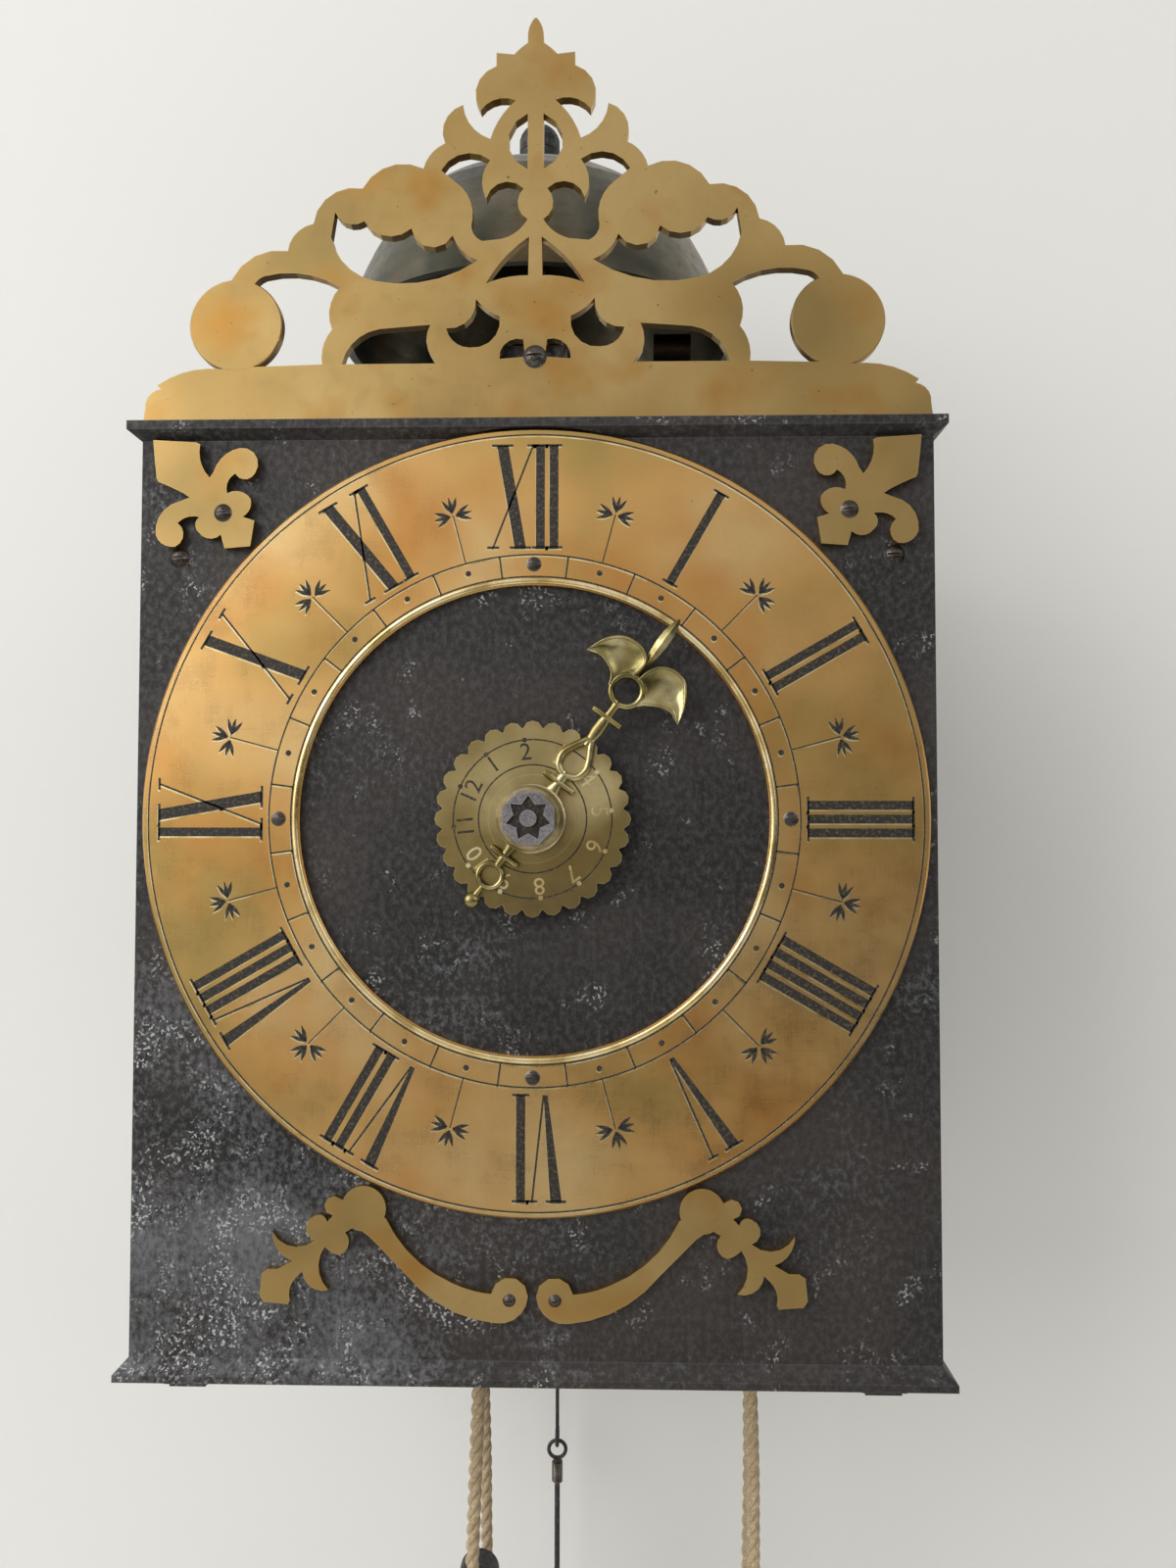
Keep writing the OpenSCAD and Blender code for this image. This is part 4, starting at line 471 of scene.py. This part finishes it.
rightRoute = [
    (58, 45, -136), (58, 45, -142), (58.5, 48, -160), (59.5, 52, -185), (60, 56, -210),
    (60.5, 60.5, -235), (61, 65, -260), (61.5, 68, -276), (61.5, 69, -285), (61.5, 70, -289.5),
    (61.5, 73, -292.5), (61.5, 77.5, -294), (61.5, 82, -292.5), (61.5, 85, -289.5), (61.5, 86, -285),
    (61.5, 87, -276), (62, 90, -260), (62.5, 94.5, -235), (63.5, 99, -210), (64, 103, -185),
    (65, 107, -160), (65.5, 110, -142), (65.5, 110, -136)]


# The three-strand section carried along a path in mm, with U along it and V round it.
def layRope(name, path, look=rope):
    run = np.concatenate([[0], np.cumsum(np.linalg.norm(np.diff(path, axis=0), axis=1))])
    around = np.linspace(0, 2 * math.pi, look["sides"], endpoint=False)
    near = (around + math.pi / 3) % (2 * math.pi / 3) - math.pi / 3
    reach = look["radius"] * (look["strandAt"] * np.cos(near) + np.sqrt(
        look["strandSize"] ** 2 - (look["strandAt"] * np.sin(near)) ** 2))
    turned = around[None] + 2 * math.pi * run[:, None] / look["lay"]
    section = np.stack([reach * np.cos(turned), reach * np.sin(turned)], -1)
    points, faces = sweep(path, section)
    piece = makePiece(name, inRow(points), faces, "case", finishes["hemp_rope"])
    ring, side = np.meshgrid(np.arange(len(path) - 1), np.arange(look["sides"]), indexing="ij")
    u = np.stack([run[ring + 1], run[ring + 1], run[ring], run[ring]], -1).ravel() / 10
    v = np.stack([side, side + 1, side + 1, side], -1).ravel() / look["sides"]
    ends = np.zeros((2 * look["sides"], 2))
    corners = np.concatenate([np.stack([u, v], -1), ends])
    uv = piece.data.uv_layers.new(name="alongRope")
    uv.data.foreach_set("uv", corners.astype(np.float32).ravel())
    return piece


# Up on the left, half round the pulley and down on the right.
def overPulley(radius, y):
    x, z = pulleys["centre"]
    angle = np.linspace(math.pi, 0, 60)
    arc = np.stack([x + radius * np.cos(angle), 0 * angle + y, z + radius * np.sin(angle)], -1)
    rise = np.linspace(rope["top"], z, 90, endpoint=False)
    left = np.stack([0 * rise + x - radius, 0 * rise + y, rise], -1)
    right = np.stack([0 * rise + x + radius, 0 * rise + y, rise], -1)[::-1]
    return np.concatenate([left, arc, right])


ropeJobs = [  # name, route, node that it stands for, pieces that hang in it
    ("laid_rope_left", leftRoute, "rope_left_loop", ("weight_strap", "weight_pulley", "driving_weight")),
    ("laid_rope_right", rightRoute, "rope_right_loop", ("counterweight_ring",))]
for name, route, node, hung in ropeJobs:
    path = alongCurve(route, rope["step"])
    piece = layRope(name, path)
    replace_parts(piece, node)
    path = inRow(path)
for name, radius, y, node in (
        ("laid_rope_over_going", pulleys["going"], pulleys["goingY"], "rope_over_going_pulley"),
        ("laid_rope_over_striking", pulleys["striking"], pulleys["strikingY"], "rope_over_strike_pulley")):
    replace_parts(layRope(name, overPulley(radius, y)), node)
print("ropes laid")


# Engraving: each cut line is a thin strip of black wax that stands a hair proud of the brass.
# A flat outline (x, z) as a thin closed plate between two depths.
def strip(outline, front, rear):
    outline = np.asarray(outline, float)
    n = len(outline)
    points = np.zeros((2 * n, 3))
    points[:n, [0, 2]] = points[n:, [0, 2]] = outline
    points[:n, 1], points[n:, 1] = front, rear
    faces = [tuple(range(n)), tuple(range(2 * n - 1, n - 1, -1))]
    faces += [(i, i + n, (i + 1) % n + n, (i + 1) % n) for i in range(n)]
    return turnOut(points, faces)


# A thin flat ring: four corners of its section carried round the centre.
def circleLine(radius, width, front, rear, sides=240):
    angle = np.linspace(0, 2 * math.pi, sides, endpoint=False)[:, None]
    r = np.array([[radius - width / 2, radius + width / 2, radius + width / 2, radius - width / 2]])
    y = np.array([[front, front, rear, rear]]) + 0 * angle
    points = np.stack([r * np.cos(angle), y, r * np.sin(angle)], -1).reshape(-1, 3)
    return turnOut(points, gridFaces(sides, 4, True, True))


# From (sideways, outwards) at the dial's edge to (x, z): turned clockwise from twelve.
def atAngle(outline, degrees):
    a = math.radians(degrees)
    u, v = np.asarray(outline, float).T
    return np.stack([v * math.sin(a) + u * math.cos(a), v * math.cos(a) - u * math.sin(a)], -1)


# A stroke whose ends are level, tapering from one width to the other.
def bar(u0, v0, u1, v1, width0, width1):
    return [(u0 - width0 / 2, v0), (u0 + width0 / 2, v0), (u1 + width1 / 2, v1), (u1 - width1 / 2, v1)]


# A leaf-shaped cut: its half width follows the sine of the way along, to the power 1.3.
def petal(root, degrees, length, width):
    t = np.linspace(0.03, 0.97, 7)
    half = width / 2 * np.sin(math.pi * t) ** 1.3 + 0.05
    side = np.concatenate([np.stack([-half, t * length], -1), np.stack([half, t * length], -1)[::-1]])
    a = math.radians(degrees)
    turn = np.array([[math.cos(a), -math.sin(a)], [math.sin(a), math.cos(a)]])
    return side @ turn + np.asarray(root, float)


# A small round cut at that distance from the dial's centre.
def dotCut(radius, out, sides):
    turn = np.linspace(0, 2 * math.pi, sides, endpoint=False)
    return np.stack([radius * np.cos(turn), out + radius * np.sin(turn)], -1)


dialCuts = {  # radii and sizes in mm, angles in degrees
    "outer": 93.6, "inner": 67.8, "line": 0.38, "circles": (96.3, 66.0, 60.5), "cell": (60.5, 66.0),
    "dotAt": 63.4, "dot": 0.72, "proud": 0.03, "sunk": 0.08, "serif": 0.6,
    "bright": (-0.12, -0.42),  # how far the painted highlight on the lit lower side of a cut shows past it, right and up
    "cellLine": 0.42, "markAt": 78.5, "stalk": (66.2, 78.6), "stalkWide": 0.3, "root": 0.6,
    "fan": (-26, 0, 26), "leafLong": 4.3, "leafWide": 0.85}
# Strokes as (u outside, u inside, width outside, width inside), serifs as (u, side, half length).
letters = {
    "I": (((0, 0, 2.2, 2.2),), ((0, 1, 2.1), (0, 0, 2.1))),
    "X": (((-2.3, 2.2, 2.8, 2.8), (5.4, -4.6, 0.5, 0.5)),
          ((-2.3, 1, 2.7), (2.2, 0, 2.7), (5.4, 1, 1.5), (-4.6, 0, 1.5))),
    "V": (((-2.9, -0.3, 2.8, 1.0), (3.0, 0.2, 0.5, 0.5)), ((-2.9, 1, 2.5), (3.0, 1, 1.4)))}
gaps = {  # from one letter's middle to the next one's
    "II": 3.4, "XI": 7.2, "IX": 6.6, "VI": 5.8, "IV": 5.4}
hours = ["XII", "I", "II", "III", "IIII", "V", "VI", "VII", "VIII", "IX", "X", "XI"]


# Letters side by side, their middle halfway between their mean place and their extent's middle.
def cutNumeral(word, degrees):
    at = np.concatenate([[0.0], np.cumsum([gaps[word[k:k + 2]] for k in range(len(word) - 1)])])
    at = at - (at.mean() + (at[0] + at[-1]) / 2) / 2
    shapes = []
    for u, letter in zip(at, word):
        strokes, serifs = letters[letter]
        for out, into, wideOut, wideIn in strokes:
            shapes.append(bar(u + out, dialCuts["outer"], u + into, dialCuts["inner"], wideOut, wideIn))
        for place, side, half in serifs:
            v = dialCuts["outer"] if side else dialCuts["inner"]
            h = dialCuts["serif"] / 2
            shapes.append([(u + place - half, v - h), (u + place + half, v - h),
                           (u + place + half, v + h), (u + place - half, v + h)])
    return [atAngle(s, degrees) for s in shapes]


# The half-hour's twig: a stalk and three fans of three leaves.
def cutMark(degrees):
    low, high = dialCuts["stalk"]
    shapes = [bar(0, low, 0, high, dialCuts["stalkWide"], dialCuts["stalkWide"])]
    for turn in (90, 0, -90):
        root = dialCuts["root"] * np.array([-math.sin(math.radians(turn)), math.cos(math.radians(turn))])
        for lean in dialCuts["fan"]:
            shapes.append(petal(root + (0, dialCuts["markAt"]), -(turn + lean),
                                dialCuts["leafLong"], dialCuts["leafWide"]))
    return [atAngle(s, degrees) for s in shapes]


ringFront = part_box("chapter_ring")[0].y * 1000 - dialOrigin[1]
front, rear = ringFront - dialCuts["proud"], ringFront + dialCuts["sunk"]
outlines = []
for k, word in enumerate(hours):
    outlines += cutNumeral(word, 30 * k) + cutMark(30 * k + 15)
inside, outside = dialCuts["cell"]
for k in range(24):
    cell = bar(0, outside, 0, inside, dialCuts["cellLine"], dialCuts["cellLine"])
    outlines.append(atAngle(cell, 15 * k + 7.5))
    if k % 6:  # a screw stands at every sixth place
        outlines.append(atAngle(dotCut(dialCuts["dot"], dialCuts["dotAt"], 14), 15 * k))
cuts = [strip(o, front, rear) for o in outlines]
cuts += [circleLine(r, dialCuts["line"], front, rear) for r in dialCuts["circles"]]
points, faces = join(cuts)
makePiece("dial_engraving", inRow(points), faces, "case", blackWax, False)
# Painted highlight: the lit lower side of each cut shows as a bright line, made of the same cuts moved
# down, a hair behind the wax.
paintedHighlightCuts = points + (dialCuts["bright"][0], 0.01, dialCuts["bright"][1])
makePiece("dial_painted_highlight_edges", inRow(paintedHighlightCuts), faces, "case", finishes["bright_cut_and_highlight"], False)
print("dial engraved:", len(faces), "faces")

# The ring's inner edge is rolled to a smooth bead.
lip = {"radius": 59.5, "half": 0.75, "proud": 0.45}
angle = np.linspace(0, 2 * math.pi, 240, endpoint=False)
path = np.stack([lip["radius"] * np.cos(angle), 0 * angle + ringFront, lip["radius"] * np.sin(angle)], -1)
points, faces = turnOut(*sweep(path, roundSection(lip["proud"], lip["half"], 14), True, start=(0, -1, 0)))
makePiece("dial_lip", inRow(points), faces, "case", finishes["bright_cut_and_highlight"])

# The alarm disc: two circles, twelve dots and figures 1 to 12.
alarmCuts = {"circles": (19.5, 13.3), "line": 0.35, "dotAt": 19.5, "dot": 0.6, "figureAt": 16.4,
             "figureHigh": 4.2, "capital": 0.70, "first": -66.0, "filled": (1, 2, 11, 12),
             "behind": 0.6}  # the face lies that far behind the disc's foremost place
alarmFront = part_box("alarm_disc")[0].y * 1000 - dialOrigin[1] + alarmCuts["behind"]


# A figure's outline as Blender's own font draws it, made a mesh and stood on the disc.
def figureStrips(text, degrees, front, rear):
    curve = bpy.data.curves.new("figure", "FONT")
    curve.body = text
    curve.size = alarmCuts["figureHigh"] / alarmCuts["capital"]  # the font's figures are 0.70 of its size
    curve.align_x, curve.align_y = "CENTER", "CENTER"
    curve.extrude = (rear - front) / 2
    curve.resolution_u = 3
    letter = bpy.data.objects.new("figure", curve)
    scene.collection.objects.link(letter)
    bpy.context.view_layer.update()
    mesh = bpy.data.meshes.new_from_object(letter.evaluated_get(bpy.context.evaluated_depsgraph_get()))
    flat = bmesh.new()
    flat.from_mesh(mesh)
    bmesh.ops.remove_doubles(flat, verts=flat.verts, dist=0.001)
    co = np.array([v.co for v in flat.verts])
    shape = [tuple(v.index for v in f.verts) for f in flat.faces]
    flat.free()
    bpy.data.objects.remove(letter)
    at = atAngle(np.stack([co[:, 0], co[:, 1] + alarmCuts["figureAt"]], -1), degrees)
    return turnOut(np.stack([at[:, 0], (front + rear) / 2 - co[:, 2], at[:, 1]], -1), shape)


front, rear = alarmFront - dialCuts["proud"], alarmFront + dialCuts["sunk"]
dark, bright = [circleLine(r, alarmCuts["line"], front, rear, 160) for r in alarmCuts["circles"]], []
dot = dotCut(alarmCuts["dot"], alarmCuts["dotAt"], 12)
for k in range(1, 13):
    place = alarmCuts["first"] + 30 * k
    shapes = dark if k in alarmCuts["filled"] else bright
    shapes += [figureStrips(str(k), place, front, rear), strip(atAngle(dot, place), front - 0.01, rear)]
for name, shapes, material in (("alarm_engraving", dark, blackWax),
                               ("alarm_bright_figures", bright, finishes["bright_cut_and_highlight"])):
    points, faces = join(shapes)
    makePiece(name, inRow(points), faces, "alarm_disc", material, False)
print("alarm disc engraved")


# The hand is cast and filed round. It is shaped in its own frame: across, along, and up towards the
# viewer from the middle of its thickness.
hand = {
    "angle": 36.5, "middle": -6.6,
    "dropLoop": [(0, 13.3), (2.6, 14.4), (3.55, 17), (2.9, 19.4), (1.5, 21.9), (0.4, 23.8),
                 (-0.4, 23.8), (-1.5, 21.9), (-2.9, 19.4), (-3.55, 17), (-2.6, 14.4)],
    "leftTop": [(-0.9, 42.7), (-0.3, 45.0), (-0.5, 47.4), (-2.9, 49.2), (-5.7, 49.5), (-8.7, 48.7),
                (-11.7, 45.8), (-13.8, 41.3)],
    "leftLow": [(-4.3, 37.6), (-4.8, 39.1), (-5.9, 40.5), (-7.9, 41.6), (-10.6, 42.2), (-13.7, 41.2)],
    "rightTop": [(0.9, 42.7), (1.5, 45.4), (3.1, 47.9), (5.8, 49.3), (8.4, 49.3), (10.6, 48.3),
                 (13.4, 44.4), (14.9, 39.6)],
    "rightLow": [(4.3, 37.4), (5.2, 38.4), (6.6, 39.3), (8.4, 40.3), (10.2, 40.9), (12.2, 40.9),
                 (14.8, 39.5)],
    "spear": [(43.2, 0.7), (46.5, 0.75), (50, 1.2), (53.5, 1.5), (56.5, 1.35), (59, 0.85), (60.6, 0.35)],
    "collars": [(11.0, 4.75), (30.7, 4.5), (-11.3, 4.25)],  # place and reach
    "rings": [(38.8, 3.9, 0.85, 0.95), (-17.2, 2.95, 0.66, 0.75)],  # place, radius, half width, half height
    "rods": [  # places up the hand, half widths, half heights
        ([5, 8, 10, 12.8, 14], [2.0, 1.8, 1.25, 1.2, 1.0], [1.0, 1.0, 1.0, 1.0, 0.9]),
        ([22.2, 24, 26.5, 29, 31.5, 33.5, 35.4], [0.9, 1.25, 1.6, 1.5, 1.05, 0.95, 1.4], [0.95] * 7),
        ([-5, -8, -10, -12.6, -14.4], [1.9, 1.6, 1.1, 1.1, 0.8], [1.0, 1.0, 0.95, 0.95, 0.8]),
        ([-19.8, -21, -23.2], [0.6, 0.5, 0.8], [0.7, 0.6, 0.8])],
    "tailBall": (-24.7, 2.0)}


# From the hand's frame to the dial's mm: turned clockwise, with up towards the viewer.
def onDial(points):
    a = math.radians(hand["angle"])
    u, v, w = np.asarray(points, float).T
    return np.stack([u * math.cos(a) + v * math.sin(a), hand["middle"] - w,
                     v * math.cos(a) - u * math.sin(a)], -1)


# A straight bar up the hand whose half width and half height are given at each place.
def rod(along, half, high, lift=0.0):
    along = np.asarray(along, float)
    path = np.stack([0 * along, along, 0 * along + lift], -1)
    return turnOut(*sweep(path, roundSection(high, half, 20), start=(0, 0, 1)))


# A level bead: half thickness falls as the fourth root of 1 - t^8 towards its ends.
def collar(at, reach):
    t = np.linspace(-0.999, 0.999, 25)
    size = 0.85 * (1 - t ** 8) ** 0.25
    path = np.stack([reach * t, 0 * t + at, 0 * t + 0.1], -1)
    return turnOut(*sweep(path, roundSection(1.15 * size, size, 18), start=(0, 0, 1)))


# A wire bent to a closed loop.
def ringLoop(points, half, high):
    points = np.asarray(points, float)
    path = np.concatenate([points, 0 * points[:, :1]], 1)
    return turnOut(*sweep(path, roundSection(high, half, 16), True, start=(0, 0, 1)))


# A circle round a place up the hand.
def circleAt(centre, radius):
    angle = np.linspace(0, 2 * math.pi, 48, endpoint=False)
    return np.stack([radius * np.cos(angle), centre + radius * np.sin(angle)], -1)


leafShape = {"rows": 34, "columns": 13, "bulge": 1.35, "bulgeWay": (0.75, 0.66), "high": 0.75,
             "arch": 0.35, "dish": 0.20, "dishUpTo": 7, "face": 0.1, "back": 0.75, "bead": 0.42,
             "beadSunk": 0.15}


# A dished leaf between two edges: t runs from one edge to the other, s from root to tip. The middle
# sinks with 1 - (2t - 1)^2, and the root bulges round the loop. A bead runs on each edge.
def leaf(top, low, side):
    count = leafShape["rows"]
    edges = []
    for edge in (top, low):
        fine = alongCurve(edge, 0.2)
        edges.append(fine[np.linspace(0, len(fine) - 1, count).round().astype(int)])
    s, t = np.meshgrid(np.linspace(0, 1, count), np.linspace(0, 1, leafShape["columns"]), indexing="ij")
    flat = edges[0][:, None] * (1 - t[..., None]) + edges[1][:, None] * t[..., None]
    hump = 4 * t * (1 - t)
    across, up = leafShape["bulgeWay"]
    bulge = leafShape["bulge"] * np.clip(1 - 3 * s, 0, 1) * hump
    flat += bulge[..., None] * np.array([side * across, up])
    width = np.minimum(np.linalg.norm(edges[0] - edges[1], axis=1)[:, None], leafShape["dishUpTo"])
    dish = leafShape["dish"] * width * hump * np.sin(math.pi * np.clip(s, 0.03, 1)) ** 0.5
    high = leafShape["high"] + leafShape["arch"] * np.sin(math.pi * s) - dish
    faceUp = np.concatenate([flat, (high + leafShape["face"])[..., None]], -1)
    faceDown = np.concatenate([flat, (high - leafShape["back"])[..., None]], -1)[:, ::-1]
    grid = np.concatenate([faceUp, faceDown], 1)
    n = grid.shape[1]
    faces = gridFaces(count, n, False, True)
    faces += [tuple(range(n - 1, -1, -1)), tuple(range((count - 1) * n, count * n))]
    parts = [turnOut(grid.reshape(-1, 3), faces)]
    taper = np.clip(np.linspace(1, 0, count) * 5, 0.25, 1) * leafShape["bead"]
    for k in (0, -1):
        path = np.concatenate([flat[:, k], (high[:, k] - leafShape["beadSunk"])[:, None]], 1)
        parts.append(turnOut(*sweep(path, roundSection(1.25 * taper, taper, 12), start=(0, 0, 1))))
    return parts


# A blade with a ridge down its face: five corners of its section follow the half width.
def spear(stations):
    at, half = np.asarray(stations, float).T
    fine = np.linspace(at[0], at[-1], 40)
    h = np.interp(fine, at, half)
    ridge = 0.35 + 0.65 * h / h.max()
    section = np.stack([np.stack([ridge, 0 * h], -1), np.stack([0 * h, h], -1),
                        np.stack([0 * h - 0.6, 0.7 * h], -1), np.stack([0 * h - 0.6, -0.7 * h], -1),
                        np.stack([0 * h, -h], -1)], 1)
    path = np.stack([0 * fine, fine, 0 * fine], -1)
    return turnOut(*sweep(path, section, start=(0, 0, 1)))


castings = [rod(*each) for each in hand["rods"]] + [collar(*each) for each in hand["collars"]]
castings += [ringLoop(circleAt(at, radius), half, high) for at, radius, half, high in hand["rings"]]
castings += [ringLoop(alongCurve(hand["dropLoop"], 0.45, True)[:-1], 0.95, 0.95), spear(hand["spear"])]
castings += leaf(hand["leftTop"], hand["leftLow"], -1) + leaf(hand["rightTop"], hand["rightLow"], 1)
at, radius = hand["tailBall"]
along = np.linspace(-1, 1, 21)
size = radius * np.sqrt(np.clip(1 - along ** 2, 0.0004, 1))
castings.append(rod(at + radius * along, size, 0.8 * size, -0.1))
points, faces = join(castings)
castHand = makePiece("hour_hand_cast", inRow(onDial(points)), faces, "hour_hand",
                     finishes["hand_brass"])
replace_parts(castHand, "hour_hand")
nodes["hand_collet"].data.materials[0] = finishes["pale_brass"]
nodes["hand_nut"].data.materials[0] = finishes["bright_steel"]
nodes["alarm_disc"].data.materials[0] = finishes["alarm_brass"]

# Painted shade: a dark star of black wax on the floor of the nut's star-shaped recess, and a dome at its
# middle as (radius, height), in mm.
nut = {"deep": 1.4, "tips": 7, "tip": 5.3, "valley": 3.5, "proud": 0.04, "sunk": 0.1,
       "dome": [(0.01, 0.9), (1.2, 0.75), (2.0, 0.3), (2.25, -0.3), (0.01, -0.3)]}
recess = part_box("hand_nut")[0].y * 1000 - dialOrigin[1] + nut["deep"]
corner = np.arange(2 * nut["tips"])
reach = np.where(corner % 2 == 0, nut["tip"], nut["valley"])
turn = np.radians(corner * 180 / nut["tips"] + 90)
star = np.stack([reach * np.cos(turn), reach * np.sin(turn)], -1)
# A dark sheet on the recess floor: painted shade.
points, faces = strip(star, recess - nut["proud"], recess + nut["sunk"])
makePiece("nut_recess_painted_shade", inRow(points), faces, "hour_hand", blackWax, False)
points, faces = turnOut(*revolve(nut["dome"], (0, recess, 0), 24, "y"))
makePiece("nut_centre", inRow(points), faces, "hour_hand", finishes["steel"])
print("hand cast:", len(castings), "parts")

# Thin wire wrapped round the neck of the pendulum's rod: a helix, radius and pitch in mm.
neck = {"radius": 1.75, "wire": 0.33, "pitch": 0.72, "long": 7.2, "down": 8.4}
low, high = (np.array(corner) * 1000 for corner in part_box("pendulum_rod"))
x, y = (low[:2] + high[:2]) / 2
t = np.linspace(0, 1, 280)
turn = 2 * math.pi * neck["long"] / neck["pitch"] * t
coil = np.stack([x + neck["radius"] * np.cos(turn), y + neck["radius"] * np.sin(turn),
                 high[2] - neck["down"] - neck["long"] * t], -1)
points, faces = turnOut(*sweep(coil, roundSection(neck["wire"], neck["wire"], 8), start=(0, 0, 1)))
makePiece("pendulum_neck_wrap", points / 1000, faces, "lower_pendulum",
          finishes["polished_iron"])
print("pendulum neck wrapped")

# The doors' knobs as seen are low buttons: (radius, height from the door's face) in mm.
button = [(0.01, -0.4), (3.6, -0.4), (3.6, 0.5), (1.7, 1.1), (1.7, 1.8), (3.2, 2.4), (3.6, 3.1), (2.8, 3.8),
          (0.01, 4.0)]
for side, door in ((-1, "left_door"), (1, "right_door")):
    knobNode = door + "_knob"
    middle = (np.array(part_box(knobNode)[0]) + np.array(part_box(knobNode)[1])) * 500
    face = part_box(door)[(1 + side) // 2].x * 1000
    points, faces = revolve(button, (0, 0, 0), 32)
    points = np.stack([face + side * points[:, 2], middle[1] + points[:, 0], middle[2] + points[:, 1]], -1)
    knob = makePiece(knobNode + "_turned", points / 1000, turnOut(points, faces)[1], door,
                     finishes["wheel_brass"])
    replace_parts(knob, knobNode)
print("door knobs turned")

# The fret's two side balls are filed truly round: a disc over each, a hair thicker than the fret, in mm.
ball = {"x": 76.47, "z": 5.33, "radius": 11.85, "edge": 0.25, "proud": 0.04}
front, rear = (corner.y * 1000 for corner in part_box("fret"))
r, e, up, down = ball["radius"], ball["edge"], ball["proud"], front - rear - ball["proud"]
disc = [(0.01, up), (r - e, up), (r, -e), (r, e + front - rear), (r - e, down), (0.01, down)]
shapes = [turnOut(*revolve(disc, (side * ball["x"], front, ball["z"]), 96, "y")) for side in (-1, 1)]
points, faces = join(shapes)
makePiece("fret_balls", points / 1000, faces, "case", finishes["cast_brass"])
print("fret balls rounded")


# Pale plaster wall and floor. The wall is seen from its front alone, and light passes it, so that
# the clock's rear is lit and seen too.
stage = {"wallY": 0.0006, "floorZ": -1.0, "reach": 2.5,  # m
         "wall": "#ebeae6", "floor": "#d8d7d3", "rough": 0.9, "bumps": 4.0, "bumpDepth": 0.3}  # bumps in mm


# Roughcast paint with faint bumps.
def layPlaster(name, code, seeThrough):
    material, tree, shader, place = startMaterial(name)
    shader.inputs["Base Color"].default_value = linear(code)
    shader.inputs["Roughness"].default_value = stage["rough"]
    grain = noise(tree, place, stage["bumps"], 3.0, 0.5)
    tree.links.new(bump(tree, grain, 0.25, stage["bumpDepth"]), shader.inputs["Normal"])
    if seeThrough:
        light = addNode(tree, "ShaderNodeLightPath")
        seen = maths(tree, "MAXIMUM", light.outputs["Is Camera Ray"], maths(
            tree, "MAXIMUM", light.outputs["Is Glossy Ray"], light.outputs["Is Transmission Ray"]))
        facing = maths(tree, "SUBTRACT", 1.0, addNode(tree, "ShaderNodeNewGeometry").outputs["Backfacing"])
        clear = addNode(tree, "ShaderNodeBsdfTransparent").outputs[0]
        both = addNode(tree, "ShaderNodeMixShader", {0: maths(tree, "MULTIPLY", seen, facing), 1: clear,
                                                     2: shader.outputs["BSDF"]})
        output = next(n for n in tree.nodes if n.type == "OUTPUT_MATERIAL")
        tree.links.new(both.outputs[0], output.inputs["Surface"])
    return material


# A flat sheet of the stage.
def layPlane(name, corners, material):
    mesh = bpy.data.meshes.new(name)
    mesh.from_pydata(corners, [], [(0, 1, 2, 3)])
    mesh.materials.append(material)
    plane = bpy.data.objects.new(name, mesh)
    scene.collection.objects.link(plane)


r, y, z = stage["reach"], stage["wallY"], stage["floorZ"]
layPlane("wall", [(-r, y, z), (r, y, z), (r, y, r), (-r, y, r)],
         layPlaster("wallPaint", stage["wall"], True))
layPlane("floor", [(-r, -r, z), (r, -r, z), (r, r, z), (-r, r, z)],
         layPlaster("floorPaint", stage["floor"], False))

lamps = {  # place, size in m and watts of each soft lamp; all point at the dial
    "windowLight": ((-1.45, -1.35, 0.7), 1.6, 29.0),
    "fillLight": ((1.6, -1.2, 0.6), 1.2, 6.0),
    "backLight": ((0.6, 1.8, 0.6), 1.4, 14.0)}
dial = Vector(inRow([(0, 0, 0)])[0])
for name, (place, size, watts) in lamps.items():
    data = bpy.data.lights.new(name, "AREA")
    data.shape = "SQUARE"
    data.size = size
    data.energy = watts
    lamp = bpy.data.objects.new(name, data)
    lamp.location = place
    lamp.rotation_euler = (dial - Vector(place)).to_track_quat("-Z", "Y").to_euler()
    scene.collection.objects.link(lamp)

# The room's light falls off downwards and to the right; lean is up * z - left * x of its direction.
room = {"colour": "#f1f0ed", "low": 0.07, "high": 0.81, "behind": 0.85, "up": 0.89, "left": 0.72,
        "darkAt": -0.35, "brightAt": 0.3}
world = bpy.data.worlds.new("paleRoom")
scene.world = world
world.use_nodes = True
tree = world.node_tree
tree.nodes.clear()
path = addNode(tree, "ShaderNodeLightPath")
way = addNode(tree, "ShaderNodeSeparateXYZ", {
    0: addNode(tree, "ShaderNodeTexCoord").outputs["Generated"]})
lean = maths(tree, "SUBTRACT", maths(tree, "MULTIPLY", way.outputs["Z"], room["up"]),
             maths(tree, "MULTIPLY", way.outputs["X"], room["left"]))
strength = between(tree, lean, room["darkAt"], room["brightAt"], room["low"], room["high"])
light = addNode(tree, "ShaderNodeBackground", {"Color": linear(room["colour"]), "Strength": strength})
shown = addNode(tree, "ShaderNodeBackground", {"Color": linear(room["colour"]), "Strength": room["behind"]})
mix = addNode(tree, "ShaderNodeMixShader", {0: path.outputs["Is Camera Ray"], 1: light.outputs[0],
                                            2: shown.outputs[0]})
addNode(tree, "ShaderNodeOutputWorld", {"Surface": mix.outputs[0]})
scene.view_settings.view_transform = "Standard"
print("stage and lights set")

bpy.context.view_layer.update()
